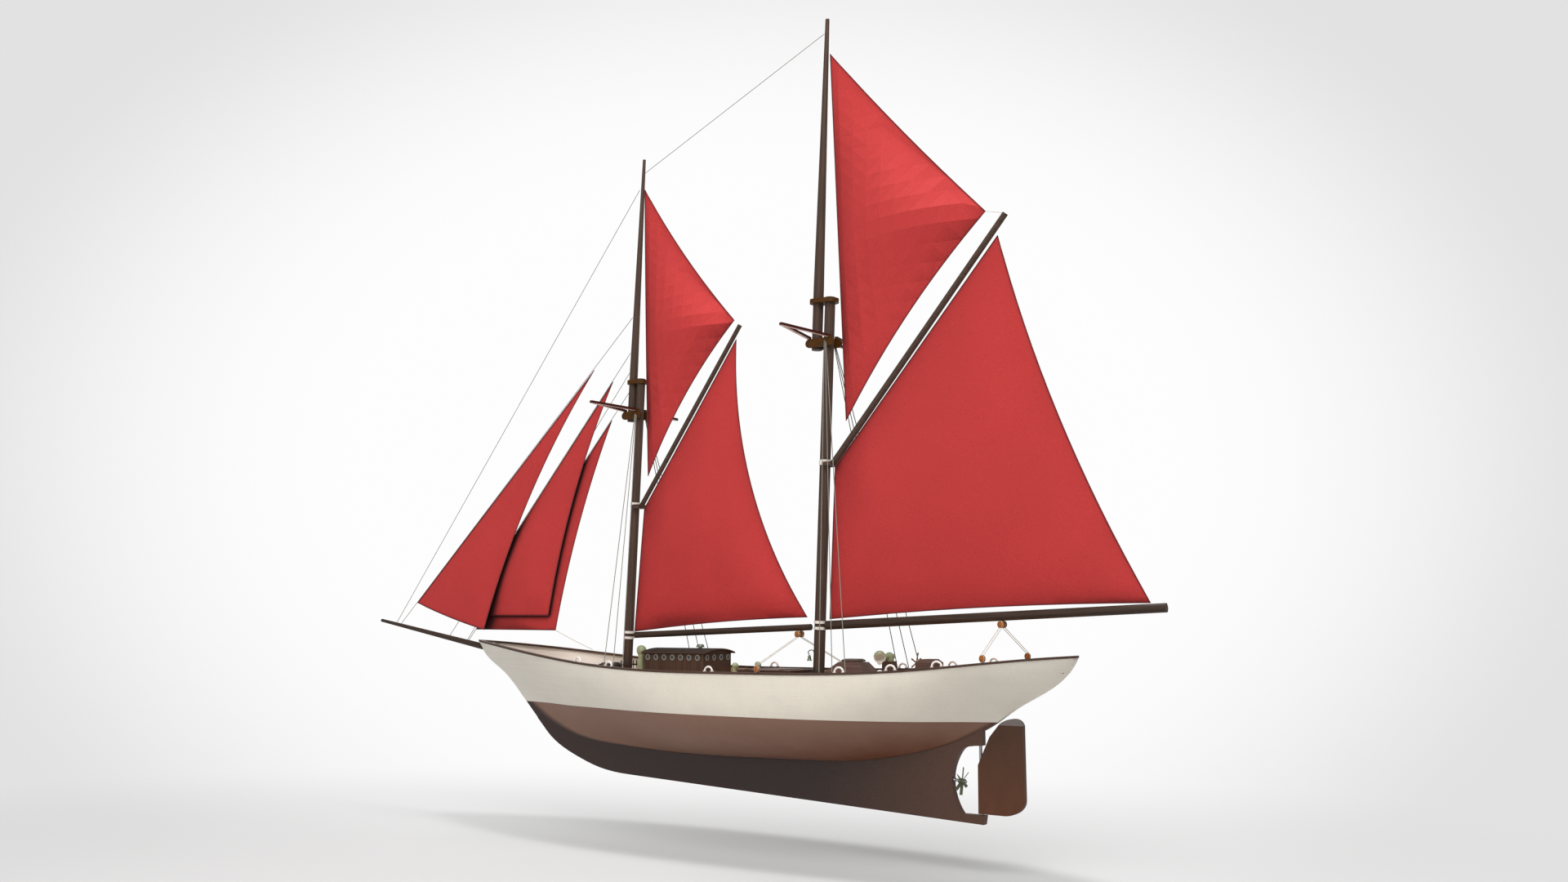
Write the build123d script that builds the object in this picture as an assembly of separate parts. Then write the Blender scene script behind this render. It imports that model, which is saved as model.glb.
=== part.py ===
from build123d import *
import math
import os

from scipy.interpolate import CubicSpline, PchipInterpolator

# Radio-controlled model of a two-masted gaff schooner, in millimetres.
#
# The pieces are drawn in the boat's own lines plan: X forward of amidships, Y to port, Z up
# from the load waterline. write() moves them so that the part's origin is KEEL_FOOT, a point
# on the flat underside of the keel.

# ---- driving dimensions -------------------------------------------------------------------
STEM_X = 559.5                 # stem head
STERN_X = -547.3               # taffrail
HALF_BEAM = 119.0              # widest half-breadth at the rail
RAIL_TOP = 101.3               # rail height at the stem head
BULWARK = 20.0                 # rail height over the deck
DECK_T = 2.0
SHELL_T = 2.5
CAP_T = 3.2                    # cap rail thickness
CAP_W = 6.5

KEEL_HALF = 5.0                # half thickness of fin, horn and stem
KEEL_FOOT = (-100.0, 0.0, -121.0)
KEEL_DRAG = 2.52               # slope of the keel's underside, degrees
HEEL_X = -413.0
APERTURE_X = -371.0            # forward edge of the propeller aperture
SHOE_TOP = -122.6
HORN_BOTTOM = -31.5
HORN_X = -413.7

STOCK_X = -408.5               # rudder axis
STOCK_R = 2.2
RUDDER_T = 8.0
TILLER_Z = 34.0                # underside of the tiller arm, below the deck
TILLER_ARM = 16.0

SHAFT_TILT = 7.0               # propeller shaft, degrees up towards the bow
HUB = (-380.7, 0.0, -80.4)
PROP_R = 18.5
SHAFT_R = 2.0
TUBE_R = 3.0

MAST_RAKE = 0.0415             # distance aft per distance up
DATUM_Z = 61.0                 # height at which the mast positions are given
FORE_X = 214.4
MAIN_X = -151.8
FORE_DOUBLING = 17.2           # distance from lower mast to topmast
MAIN_DOUBLING = 21.2
FORE_CAP_Z = 533.0             # top of the mast cap
MAIN_CAP_Z = 619.7
CAP_PLATE_T = 6.5
MASTHEAD = 1.6                 # what the lower masts show above their caps
FORE_TREE_Z = 473.0            # middle of the trestletrees
MAIN_TREE_Z = 551.0
TREE_DEPTH = 13.0
TREE_T = 3.6
FORE_TRUCK_Z = 915.8
MAIN_TRUCK_Z = 1069.5
FORE_R = 7.5
MAIN_R = 8.6
FORE_TOP_R = 6.8
MAIN_TOP_R = 8.0
MAST_TAPER = 0.7               # what a lower mast loses in radius from heel to cap

FORE_GOOSENECK_Z = 112.6
MAIN_GOOSENECK_Z = 128.4
FORE_JAW_Z = 321.0
MAIN_JAW_Z = 366.0
BOOM_SLOPE = 0.0388
MAIN_BOOM_SLOPE = 0.0442

SAIL_T = 1.2
STAY_R = 0.5
SHROUD_R = 0.6
SHEET_R = 0.5
HEADSAIL_LEE = 5.0             # degrees that the headsails are sheeted to port at rest

HOUSE = (33.5, 149.5)          # deckhouse, aft and forward walls
HOUSE_HALF = 36.0
HOUSE_EAVE = 87.0              # top of the roof at its sides
HOUSE_CAMBER = 6.0
WALL_T = 2.2
PORTHOLE_Z = 79.0
PORTHOLE_R = 3.3

RUN = 0.06                     # radial clearance of running fits


# ---- lines plan ---------------------------------------------------------------------------
def rail_breadth(x):
    """Half-breadth of the hull at the rail: fine bow, elliptical stern."""
    if x >= 0:
        t = min(x / (STEM_X + 1.5), 1.0)
        return HALF_BEAM * (1 - t ** 2.3) ** 0.93
    t = min(x / (STERN_X - 0.7), 1.0)
    return HALF_BEAM * (1 - t ** 2.7) ** 0.5


rail_height = CubicSpline(
    [-548, -440, -360, -240, -80, 80, 200, 320, 440, 560],
    [87.9, 78.2, 70.0, 62.9, 60.9, 61.5, 67.4, 78.4, 90.8, RAIL_TOP],
)

# Underside of the canoe body on the centreline, from the counter to the stem.
body_bottom = PchipInterpolator(
    [-550, -533, -502, -478, -456, -434, -414, -380, -300, -230, -100, 50, 200, 300,
     366, 407, 434, 458, 489, 521, 562],
    [90, 64, 40, 26.5, 14, -2, -13, -28, -50, -62, -67, -69, -66, -58,
     -44, -27.5, -1.5, 20.5, 47, 65.5, 103],
)

# Shape of the sections: BILGE sets how hard the bilge turns, HOLLOW how hollow the garboard is.
BILGE = PchipInterpolator([-550, -434, -300, -130, -30, 110, 209, 300, 367, 562],
                          [1.3, 1.3, 2.2, 3.6, 3.6, 2.5, 1.9, 1.5, 1.3, 1.15])
HOLLOW = PchipInterpolator(
    [-550, -480, -414, -371, -275, -163, -32, 110, 209, 293, 367, 410, 450, 562],
    [0.62, 0.8, 1.42, 1.12, 0.98, 0.85, 0.8, 0.94, 1.2, 1.2, 1.7, 2.0, 1.5, 1.0],
)
SECTION_TOP = 125.0            # height to which the sections are carried above the rail


def section_points(x, inset):
    """Points up one side of the section at x, from the bottom to the rail."""
    breadth = rail_breadth(x)
    bottom = float(body_bottom(x))
    top = float(rail_height(x))
    half_keel = min(KEEL_HALF - 1.0, 0.5 * breadth)
    points = []
    for u in (0.0, 0.04, 0.1, 0.18, 0.3, 0.45, 0.62, 0.8, 1.0):
        s = (1 - (1 - u) ** float(BILGE(x))) ** float(HOLLOW(x))
        y = half_keel + (breadth - half_keel) * s
        z = bottom + inset + u * (top - bottom - inset)
        points.append((max(y - inset, 0.4 + 0.6 * u), z))
    return points


def hull_section(x, inset):
    """Closed section across the hull, carried up above the rail."""
    side = section_points(x, inset)
    rail_y, rail_z = side[-1]
    port = [(x, y, z) for y, z in side]
    starboard = [(x, -y, z) for y, z in side]
    edges = [
        Spline(*port),
        Line((x, rail_y, rail_z), (x, rail_y, SECTION_TOP)),
        Line((x, rail_y, SECTION_TOP), (x, -rail_y, SECTION_TOP)),
        Line((x, -rail_y, SECTION_TOP), (x, -rail_y, rail_z)),
        Spline(*reversed(starboard)),
        Line(starboard[0], port[0]),
    ]
    return Wire(edges)


def loft_body(stations, inset):
    return Solid.make_loft([hull_section(x, inset) for x in stations])


def prism(outline, half_width):
    """Solid from an X-Z outline, a list of edges, carried to both sides of the centreline."""
    face = Face(Wire(outline))
    return extrude(face, half_width, dir=(0, 1, 0), both=True)


def rail_line(x0, x1, lift, count=24):
    """Points along the sheer from x0 to x1, lifted by a constant height."""
    step = (x1 - x0) / (count - 1)
    return [(x0 + i * step, 0, float(rail_height(x0 + i * step)) + lift) for i in range(count)]


def sheer_band(low, high):
    """Slab that follows the sheer, between two heights relative to the rail."""
    aft, fore = -552.0, 565.0
    upper = Spline(*rail_line(aft, fore, high))
    lower = Spline(*rail_line(fore, aft, low))
    return prism([upper, Line(upper @ 1, lower @ 0), lower, Line(lower @ 1, upper @ 0)], 140)


def above_deck(shape, gap=0.05):
    """What of a shape stands above the deck."""
    return shape & sheer_band(gap - BULWARK, 120)


def keel_z(x):
    return KEEL_FOOT[2] + (x - KEEL_FOOT[0]) * math.tan(math.radians(KEEL_DRAG))


# ---- small helpers ------------------------------------------------------------------------
def spar(start, end, start_r, end_r):
    """Round tapered bar between two points."""
    a, b = Vector(start), Vector(end)
    plane = Plane(origin=a, z_dir=b - a)
    if abs(start_r - end_r) < 1e-6:
        return plane * Cylinder(start_r, (b - a).length, align=(Align.CENTER, Align.CENTER, Align.MIN))
    return plane * Cone(start_r, end_r, (b - a).length, align=(Align.CENTER, Align.CENTER, Align.MIN))


def block(x0, x1, y0, y1, z0, z1):
    """Box between two corners."""
    return Pos((x0 + x1) / 2, (y0 + y1) / 2, (z0 + z1) / 2) * Box(x1 - x0, y1 - y0, z1 - z0)


def both_sides(shape):
    return [shape, mirror(shape, about=Plane.XZ)]


def bowed(a, b, bow):
    """X-Z edge from a to b; a positive bow bulges to the left of its direction."""
    ax, az = a
    bx, bz = b
    if bow == 0:
        return Line((ax, 0, az), (bx, 0, bz))
    length = math.hypot(bx - ax, bz - az)
    mid = ((ax + bx) / 2 - (bz - az) / length * bow, 0, (az + bz) / 2 + (bx - ax) / length * bow)
    return ThreePointArc((ax, 0, az), mid, (bx, 0, bz))


def fore_mast(z, forward=0.0):
    """Point on the foremast's axis at height z, or on the topmast that stands forward of it."""
    return (FORE_X + forward - MAST_RAKE * (z - DATUM_Z), 0.0, z)


def main_mast(z, forward=0.0):
    return (MAIN_X + forward - MAST_RAKE * (z - DATUM_Z), 0.0, z)


MAST_AXIS = Vector(-MAST_RAKE, 0, 1).normalized()
MAST_HEEL_Z = -39.0            # top of the tray that the masts stand on


# ---- hull ---------------------------------------------------------------------------------
OUTER_STATIONS = (-546, -540, -525, -500, -465, -434, -400, -350, -290, -210, -110, 0, 110,
                  210, 290, 350, 400, 440, 480, 515, 540, 557)
INNER_STATIONS = (-536, -525, -500, -465, -434, -400, -350, -290, -210, -110, 0, 110,
                  210, 290, 350, 400, 440, 480, 515, 530)


def body_profile():
    """X-Z outline of the canoe body: counter, sheer and stem; the loft forms the bottom."""
    sheer = Spline(*rail_line(STERN_X, STEM_X, -CAP_T / 2))
    head = sheer @ 1
    stern = sheer @ 0
    stem = Spline(head, (521, 0, 66.3), (489, 0, 47.6), (458, 0, 21.4), (434.3, 0, -0.8),
                  (406.8, 0, -26.8), (376, 0, -54.7))
    counter = Spline((-413, 0, -13), (-434.3, 0, -0.8), (-456.3, 0, 14.8), (-502, 0, 41.2),
                     (-533, 0, 65), stern)
    foot = Polyline(stem @ 1, (376, 0, -95), (-413, 0, -95), (-413, 0, -13))
    return [sheer, stem, *foot.edges(), counter]


def fin_profile():
    """X-Z outline of the fin: forefoot, straight keel, shoe, propeller aperture and horn."""
    straight_x = 205.0
    keel_dir = (-1, 0, -math.tan(math.radians(KEEL_DRAG)))
    forefoot = Spline((407, 0, -26.6), (376, 0, -54.7), (310, 0, -87), (straight_x, 0, keel_z(straight_x)),
                      tangents=((-0.75, 0, -0.66), keel_dir))
    heel = (HEEL_X, 0, keel_z(HEEL_X))
    shoe = Polyline(forefoot @ 1, heel, (HEEL_X - 2, 0, SHOE_TOP), (-382, 0, SHOE_TOP))
    aperture = Spline((-382, 0, SHOE_TOP), (APERTURE_X, 0, -101), (APERTURE_X, 0, -60),
                      (-385, 0, -36.5), (-401, 0, HORN_BOTTOM - 1), tangents=((0.8, 0, 1), (-1, 0, 0.15)))
    top = Polyline((-401, 0, HORN_BOTTOM - 1), (HORN_X, 0, HORN_BOTTOM), (HORN_X, 0, -6), (-370, 0, -20),
                   (-230, 0, -56), (0, 0, -62), (200, 0, -60), (330, 0, -45), (398, 0, -22), (407, 0, -26.6))
    return [forefoot, *shoe.edges(), aperture, *top.edges()]


def shaft_point(distance):
    """Point on the propeller shaft's axis, forward of the hub."""
    tilt = math.radians(SHAFT_TILT)
    return (HUB[0] + distance * math.cos(tilt), 0.0, HUB[2] + distance * math.sin(tilt))


def bowsprit_spar(extra=0.0):
    heel = (503.0, 0.0, 83.0)
    tip = (822.3, 0.0, 137.0)
    return spar(heel, tip, 5.8 + extra, 2.9 + extra)


BALLAST = (-340.0, 180.0)      # aft and forward ends of the lead in the fin
BALLAST_HALF = 2.2


def ballast_solid(extra=0.0):
    aft, fore = BALLAST
    outline = Polyline(
        (aft - extra, 0, keel_z(aft) + 4 - extra), (fore + extra, 0, keel_z(fore) + 4 - extra),
        (fore + extra, 0, -66 + extra), (-220, 0, -66 + extra), (aft - extra, 0, -96 + extra), close=True,
    )
    return prism(list(outline.edges()), BALLAST_HALF + extra)


def stock_hole(radius):
    return spar((STOCK_X, 0, -150), (STOCK_X, 0, 95), radius, radius)


def hull_shell():
    outer = loft_body(OUTER_STATIONS, 0) & prism(body_profile(), 140)
    inner = loft_body(INNER_STATIONS, SHELL_T)
    fin = prism(fin_profile(), KEEL_HALF)
    shell = (outer + (fin - inner)) - inner
    shell -= ballast_solid(0.05)
    shell -= spar(shaft_point(5), shaft_point(215), TUBE_R + 0.02, TUBE_R + 0.02)
    shell -= stock_hole(STOCK_R + RUN) & block(-420, -395, -8, 8, -131, 60)
    shell -= bowsprit_spar(0.03)
    return shell


def deck_plan(inset, low, high):
    """Upright prism over the rail's plan, drawn in by inset."""
    count = 14
    bow = STEM_X - 2 - 2.2 * inset
    stern = STERN_X + inset
    port = []
    for i in range(1, count):
        x = stern + (bow - stern) * (1 - math.cos(math.pi * i / count)) / 2
        port.append((x, max(rail_breadth(x) - inset, 0.8)))
    port.append((bow, 0.4))
    starboard = [(x, -y) for x, y in port]
    side = Spline(*reversed(port), (stern, 0), *starboard)
    outline = Wire([side, Line(side @ 1, side @ 0)])
    return Pos(0, 0, low) * extrude(Face(outline), high - low, dir=(0, 0, 1))


def cap_rail():
    ring = deck_plan(-1.2, 50, 110) - deck_plan(CAP_W, 50, 110)
    rail = ring & sheer_band(-CAP_T / 2 + 0.05, CAP_T / 2)
    return rail - bowsprit_spar(0.03)


def deck():
    plate = loft_body(INNER_STATIONS, SHELL_T + 0.15) & sheer_band(-BULWARK - DECK_T, -BULWARK)
    aft, fore = HOUSE
    plate -= block(aft + 8, fore - 8, -HOUSE_HALF + 8, HOUSE_HALF - 8, 20, 70)
    plate -= spar(fore_mast(10), fore_mast(80), FORE_R + 0.1, FORE_R + 0.1)
    plate -= spar(main_mast(10), main_mast(80), MAIN_R + 0.1, MAIN_R + 0.1)
    plate -= stock_hole(STOCK_R + RUN)
    return plate


# ---- masts and standing rigging -----------------------------------------------------------
def lower_mast(line, cap_z, radius):
    return spar(line(MAST_HEEL_Z + 0.4), line(cap_z + MASTHEAD), radius, radius - MAST_TAPER)


def topmast(line, spacing, tree_z, cap_z, truck_z, radius, truck_r):
    heel = spar(line(tree_z - TREE_DEPTH / 2 - 2.5, spacing), line(cap_z + 20, spacing), radius, radius)
    upper = spar(line(cap_z + 20, spacing), line(truck_z, spacing), radius, truck_r)
    return heel + upper


def mast_radius(radius, cap_z, z):
    return radius - MAST_TAPER * (z - MAST_HEEL_Z) / (cap_z + MASTHEAD - MAST_HEEL_Z)


def mast_cap(line, spacing, cap_z, radius, top_radius, margin):
    """Plate with round ends that holds lower mast and topmast together."""
    mid = line(cap_z - CAP_PLATE_T / 2, spacing / 2)
    frame = Plane(origin=mid, x_dir=(1, 0, MAST_RAKE), z_dir=MAST_AXIS)
    slot = SlotCenterToCenter(spacing, 2 * (radius + margin))
    plate = frame * extrude(slot, CAP_PLATE_T / 2, both=True)
    for offset, bore in ((0.0, radius + 0.02), (spacing, top_radius + 0.02)):
        plate -= spar(line(cap_z - 30, offset), line(cap_z + 30, offset), bore, bore)
    return plate


def mast_caps():
    return [
        mast_cap(fore_mast, FORE_DOUBLING, FORE_CAP_Z, FORE_R - MAST_TAPER + 0.1, FORE_TOP_R, 3.2),
        mast_cap(main_mast, MAIN_DOUBLING, MAIN_CAP_Z, MAIN_R - MAST_TAPER + 0.1, MAIN_TOP_R, 5.2),
    ]


def round_board(start, end, y0, y1, depth):
    """Fore-and-aft board on edge, with round ends, between two X values at one height."""
    (ax, az), (bx, bz) = start, end
    length = math.hypot(bx - ax, bz - az) - depth
    frame = Plane(origin=((ax + bx) / 2, y0, (az + bz) / 2), x_dir=(bx - ax, 0, bz - az), z_dir=(0, 1, 0))
    return frame * extrude(SlotCenterToCenter(length, depth), y1 - y0)


TREE_GAP = 0.6                 # between a lower mast and its trestletrees


def crosstree_set(line, spacing, tree_z, radius, aft, fore, half_span):
    """Two trestletrees and, on each side, two arms that meet at the tip."""
    x = line(tree_z)[0]
    inner = radius + TREE_GAP
    pieces = []
    board = round_board((x + fore, tree_z), (x - aft, tree_z), inner, inner + TREE_T, TREE_DEPTH)
    pieces += both_sides(board)
    arm_z = tree_z + TREE_DEPTH / 2 + 0.02
    tip = (x + spacing / 2, half_span)
    wide, thin = 5.0, 4.0
    arms = None
    for root_x in (x + fore - 6, x - aft + 9):
        root_y = inner + TREE_T / 2
        length = math.hypot(tip[0] - root_x, tip[1] - root_y)
        angle = math.degrees(math.atan2(tip[1] - root_y, tip[0] - root_x))
        arm = Pos(root_x, root_y, arm_z) * Rot(0, 0, angle) * Pos(length / 2, 0, thin / 2) * Box(
            length + wide, wide, thin)
        arms = arm if arms is None else arms + arm
    pieces += both_sides(arms)
    return pieces


def crosstrees():
    return (
        crosstree_set(fore_mast, FORE_DOUBLING, FORE_TREE_Z, FORE_R, 11.0, FORE_DOUBLING + 12, 108.0)
        + crosstree_set(main_mast, MAIN_DOUBLING, MAIN_TREE_Z, MAIN_R, 16.0, MAIN_DOUBLING + 13, 113.0)
    )


def mast_band(line, z, height, radius, cap_z):
    """White ring round a lower mast, centred on height z."""
    r = mast_radius(radius, cap_z, z - height / 2) + 0.02
    low, high = line(z - height / 2), line(z + height / 2)
    return spar(low, high, r + 1.1, r + 1.1) - spar(line(z - height), line(z + height), r, r)


def mast_bands():
    bands = []
    for line, radius, cap_z, jaw_z, neck_z in (
        (fore_mast, FORE_R, FORE_CAP_Z, FORE_JAW_Z, FORE_GOOSENECK_Z),
        (main_mast, MAIN_R, MAIN_CAP_Z, MAIN_JAW_Z, MAIN_GOOSENECK_Z),
    ):
        bands.append(mast_band(line, jaw_z + 3, 8.0, radius, cap_z))
        for offset in (-4.4, 4.4):
            bands.append(mast_band(line, neck_z + offset, 4.0, radius, cap_z))
    return bands


# Lower and upper ends of the stays: the topmast stay, the three headsail stays and a bare stay.
STAYS = {
    "topmast_stay": ((782.7, 0, 129.4), (205.0, 0, 864.1)),
    "flying_jib_stay": ((771.0, 0, 127.8), (216.0, 0, 642.3)),
    "jib_stay": ((638.4, 0, 105.8), (219.5, 0, 581.6)),
    "forestay": ((592.5, 0, 98.0), (221.1, 0, 547.2)),
    "staysail_stay": ((589.0, 0, 97.5), (219.7, 0, 515.8)),
}


def headstays():
    """Headstays and the triatic stay between the mastheads."""
    mast_side = spar(fore_mast(400, FORE_DOUBLING), fore_mast(FORE_TRUCK_Z, FORE_DOUBLING),
                     FORE_TOP_R + 0.05, FORE_TOP_R + 0.05)
    ropes = []
    for start, end in STAYS.values():
        ropes.append(spar(start, end, STAY_R, STAY_R) - bowsprit_spar(0.05) - mast_side)
    fore_end = fore_mast(892, FORE_DOUBLING - 4)
    main_end = main_mast(1047, MAIN_DOUBLING + 5)
    ropes.append(spar(fore_end, main_end, STAY_R, STAY_R))
    return ropes


def rail_point(x, lift=CAP_T / 2 + 0.6, inboard=2.0):
    return (x, rail_breadth(x) - inboard, float(rail_height(x)) + lift)


SHROUD_FEET = {"fore": (168.0, 148.0, 128.0), "main": (-222.0, -242.0, -262.0)}


def shrouds():
    """Three shrouds a side to each mast, from the rail to the outer face of the trestletree."""
    ropes = []
    for feet, line, tree_z, radius in (
        (SHROUD_FEET["fore"], fore_mast, FORE_TREE_Z, FORE_R),
        (SHROUD_FEET["main"], main_mast, MAIN_TREE_Z, MAIN_R),
    ):
        outside = radius + TREE_GAP + TREE_T + SHROUD_R + 0.15
        for i, foot_x in enumerate(feet):
            x, _, z = line(tree_z + 2 - 1.5 * i)
            ropes += both_sides(spar(rail_point(foot_x), (x - 1.6 * i, outside, z), SHROUD_R, SHROUD_R))
    return ropes


# ---- booms, gaffs and sails ---------------------------------------------------------------
def boom(line, neck_z, start_offset, end_x, slope, start_r, end_r, mast_r):
    """Boom with the gooseneck tongue that reaches to the mast between its two bands."""
    x, _, z = line(neck_z)
    start = (x - start_offset, 0, z)
    end = (end_x, 0, z + slope * (x - start_offset - end_x))
    tongue = spar((x - mast_r - 0.4, 0, z), (x - start_offset - 3, 0, z), 1.6, 1.6)
    return spar(start, end, start_r, end_r) + tongue


def gaff(line, jaw_z, start_offset, peak, start_r, end_r, mast_r):
    """Gaff with a jaw whose two cheeks pass beside the mast."""
    x = line(jaw_z)[0]
    start = (x - start_offset, 0, jaw_z + 2)
    jaw = block(x - start_offset - 2, x - 2, mast_r + 1.6, mast_r + 4.0, jaw_z - 3, jaw_z + 3)
    jaw += block(x - start_offset - 3, x - start_offset + 1.0, 0, mast_r + 4.0, jaw_z - 3, jaw_z + 3)
    return spar(start, (peak[0], 0, peak[1]), start_r, end_r) + jaw + mirror(jaw, about=Plane.XZ)


def sail(corners, bows):
    """Flat sheet between corners in the X-Z plane; each edge may be bowed."""
    edges = []
    for i, corner in enumerate(corners):
        edges.append(bowed(corner, corners[(i + 1) % len(corners)], bows[i]))
    return prism(edges, SAIL_T / 2)


# Corners of each sail in the X-Z plane, and the bow of the edge that starts at each corner.
FORESAIL = (((184.0, 318.0), (0.5, 577.8), (-132.2, 140.4), (200.6, 117.9)), (0, 39.5, 4, 0))
MAINSAIL = (((-181.8, 361.4), (-451.3, 671.4), (-647.7, 156.8), (-171.3, 137.2)), (0, 18, 5.5, 0))
FORE_TOPSAIL = (((194.0, 862.8), (4.6, 609.7), (177.3, 370.4)), (7.5, 14, -1))
MAIN_TOPSAIL = (((-177.2, 1011.1), (-433.5, 709.8), (-201.5, 429.4)), (4, 13, 0))
FLYING_JIB = (((727.5, 169.0), (302.2, 561.0), (535.1, 119.8)), (0, 25, -2.5))
JIB = (((603.4, 145.5), (259.4, 536.3), (380.9, 143.8)), (0, 17.5, 0))
STAYSAIL = (((568.9, 120.5), (260.2, 470.0), (364.5, 119.5)), (0, 11.5, 0))
LUFF_GAP = 2.2                 # from the centre of a stay to the luff of its sail


def headsail(shape, stay):
    """Headsail set behind its stay and sheeted a little to port, about the stay."""
    low, high = (Vector(p) for p in STAYS[stay])
    axis = Axis(low, low - high)
    flat = sail(*shape)
    return flat.moved(Location((-LUFF_GAP, 0, 0))).rotate(axis, HEADSAIL_LEE)


# ---- sheets and blocks --------------------------------------------------------------------
MAIN_SHEET_X = -448.0
FORE_SHEET_X = -121.0


def boom_z(line, neck_z, start_offset, slope, x):
    return neck_z + slope * (line(neck_z)[0] - start_offset - x)


def sheet_points(boom_x, boom_underside, deck_x):
    """Centres of the boom block and of the rail block, on the port side."""
    upper = (boom_x, 5.5, boom_underside - 4.6)
    rail = rail_point(deck_x, CAP_T / 2 + 5.0, 3.0)
    return upper, rail


def main_sheet_points():
    z = boom_z(main_mast, MAIN_GOOSENECK_Z, 8.5, MAIN_BOOM_SLOPE, -444)
    return sheet_points(-444.0, z - 6.6, MAIN_SHEET_X)


def fore_sheet_points():
    z = boom_z(fore_mast, FORE_GOOSENECK_Z, 13.5, BOOM_SLOPE, -118)
    return sheet_points(-118.0, z - 4.9, FORE_SHEET_X)


def pulley_block(centre):
    """Oval wooden pulley block with rounded cheeks."""
    body = extrude(Ellipse(3.6, 4.6), 2.6, both=True)
    body = fillet(body.edges(), 1.2)
    return Pos(*centre) * Rot(90, 0, 0) * body


def sheet_ropes(upper, rail):
    """Two parts of rope on each side, between the boom block and the rail block."""
    ropes = []
    for offset in (-1.8, 1.8):
        top = (upper[0] + offset, upper[1] + 0.6, upper[2] - 4.9)
        foot = (rail[0] + offset, rail[1] - 0.6, rail[2] + 4.9)
        ropes += both_sides(spar(foot, top, SHEET_R, SHEET_R))
    return ropes


def boom_blocks(points):
    return both_sides(pulley_block(points[0]))


def deck_blocks():
    rail_places = [points[1] for points in (main_sheet_points(), fore_sheet_points())]
    return [block for place in rail_places for block in both_sides(pulley_block(place))]


# ---- deckhouse ----------------------------------------------------------------------------
def under_camber(lift, x0, x1, half_width):
    """Everything below the roof's cambered line, from x0 to x1."""
    low = 20.0
    a, b = (x0, -half_width, HOUSE_EAVE + lift), (x0, half_width, HOUSE_EAVE + lift)
    arc = ThreePointArc(a, (x0, 0, HOUSE_EAVE + HOUSE_CAMBER + lift), b)
    rest = Polyline(b, (x0, half_width, low), (x0, -half_width, low), a)
    return extrude(Face(Wire([arc, *rest.edges()])), x1 - x0, dir=(1, 0, 0))


ROOF_T = 2.2
ROOF_HALF = HOUSE_HALF + 3.5


def porthole_places():
    """Centre and outward direction of each porthole."""
    aft, fore = HOUSE
    places = []
    pitch = 16.3
    for i in range(7):
        x = aft + 10.5 + pitch * i
        places.append(((x, HOUSE_HALF, PORTHOLE_Z), (0, 1, 0)))
        places.append(((x, -HOUSE_HALF, PORTHOLE_Z), (0, -1, 0)))
    for y in (-27, -9, 9, 27):
        places.append(((aft, y, PORTHOLE_Z), (-1, 0, 0)))
    return places


def porthole_disc(place, radius, inset, depth):
    centre, out = place
    return Plane(origin=centre, z_dir=out) * Pos(0, 0, inset) * Cylinder(
        radius, depth, align=(Align.CENTER, Align.CENTER, Align.MIN))


def deckhouse_walls():
    aft, fore = HOUSE
    low = 20.0
    walls = block(aft, fore, -HOUSE_HALF, HOUSE_HALF, low, 100)
    walls -= block(aft + WALL_T, fore - WALL_T, -HOUSE_HALF + WALL_T, HOUSE_HALF - WALL_T, low - 1, 101)
    walls &= under_camber(-ROOF_T - 0.02, aft - 5, fore + 5, ROOF_HALF)
    walls = above_deck(walls)
    for place in porthole_places():
        walls -= porthole_disc(place, PORTHOLE_R, -WALL_T - 1, WALL_T + 2)
    return walls


def deckhouse_roof():
    aft, fore = HOUSE
    outer = under_camber(0, aft - 5.5, fore + 3, ROOF_HALF)
    return outer - under_camber(-ROOF_T, aft - 8, fore + 8, ROOF_HALF + 0.001)


def porthole_rims():
    rims = []
    for place in porthole_places():
        disc = porthole_disc(place, PORTHOLE_R + 1.3, 0.02, 1.0)
        rims.append(disc - porthole_disc(place, PORTHOLE_R - 0.3, -1, 4))
    return rims


def porthole_glass():
    return [porthole_disc(place, PORTHOLE_R - 0.02, -1.4, 1.0) for place in porthole_places()]


def roof_vent():
    """Mushroom vent on the deckhouse roof."""
    top = HOUSE_EAVE + HOUSE_CAMBER
    neck = Pos(66.5, 0, top - 0.3) * Cylinder(3.0, 3.0, align=(Align.CENTER, Align.CENTER, Align.MIN))
    neck -= under_camber(0.02, 40, 90, ROOF_HALF)
    ball = Pos(66.5, 0, top + 1.2) * Sphere(6.4)
    cap = ball & block(50, 80, -10, 10, top + 1.2, top + 5.8)
    return neck + cap


# ---- deck fittings ------------------------------------------------------------------------
def cowl_vent(x, y, stem_r, head_r, head_z, facing, down):
    """Hollow cowl ventilator; facing is the mouth's compass direction, down its tilt, degrees."""
    stem = Pos(x, y, 20) * Cylinder(stem_r, head_z - 20, align=(Align.CENTER, Align.CENTER, Align.MIN))
    head = Pos(x, y, head_z) * Sphere(head_r)
    hollow = Pos(x, y, head_z) * Sphere(head_r - 1.1)
    hollow += Pos(x, y, head_z - head_r) * Cylinder(stem_r - 1.1, head_r, align=(
        Align.CENTER, Align.CENTER, Align.MIN))
    mouth = Pos(x, y, head_z) * Rot(0, 0, facing) * Rot(0, down, 0) * Pos(
        head_r * 1.35, 0, 0) * Box(2 * head_r, 4 * head_r, 4 * head_r)
    return above_deck((stem + head) - hollow - mouth)


def cowl_vents():
    vents = [cowl_vent(163.5, 27.0, 6.0, 8.4, 88.4, 0, 10), cowl_vent(-268.0, 24.0, 4.3, 8.7, 84.6, 125, 35)]
    for y in (-30.0, 30.0):
        vents.append(cowl_vent(-22.0, y, 4.4, 5.4, 67.6, 0, 10))
    return vents


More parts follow.
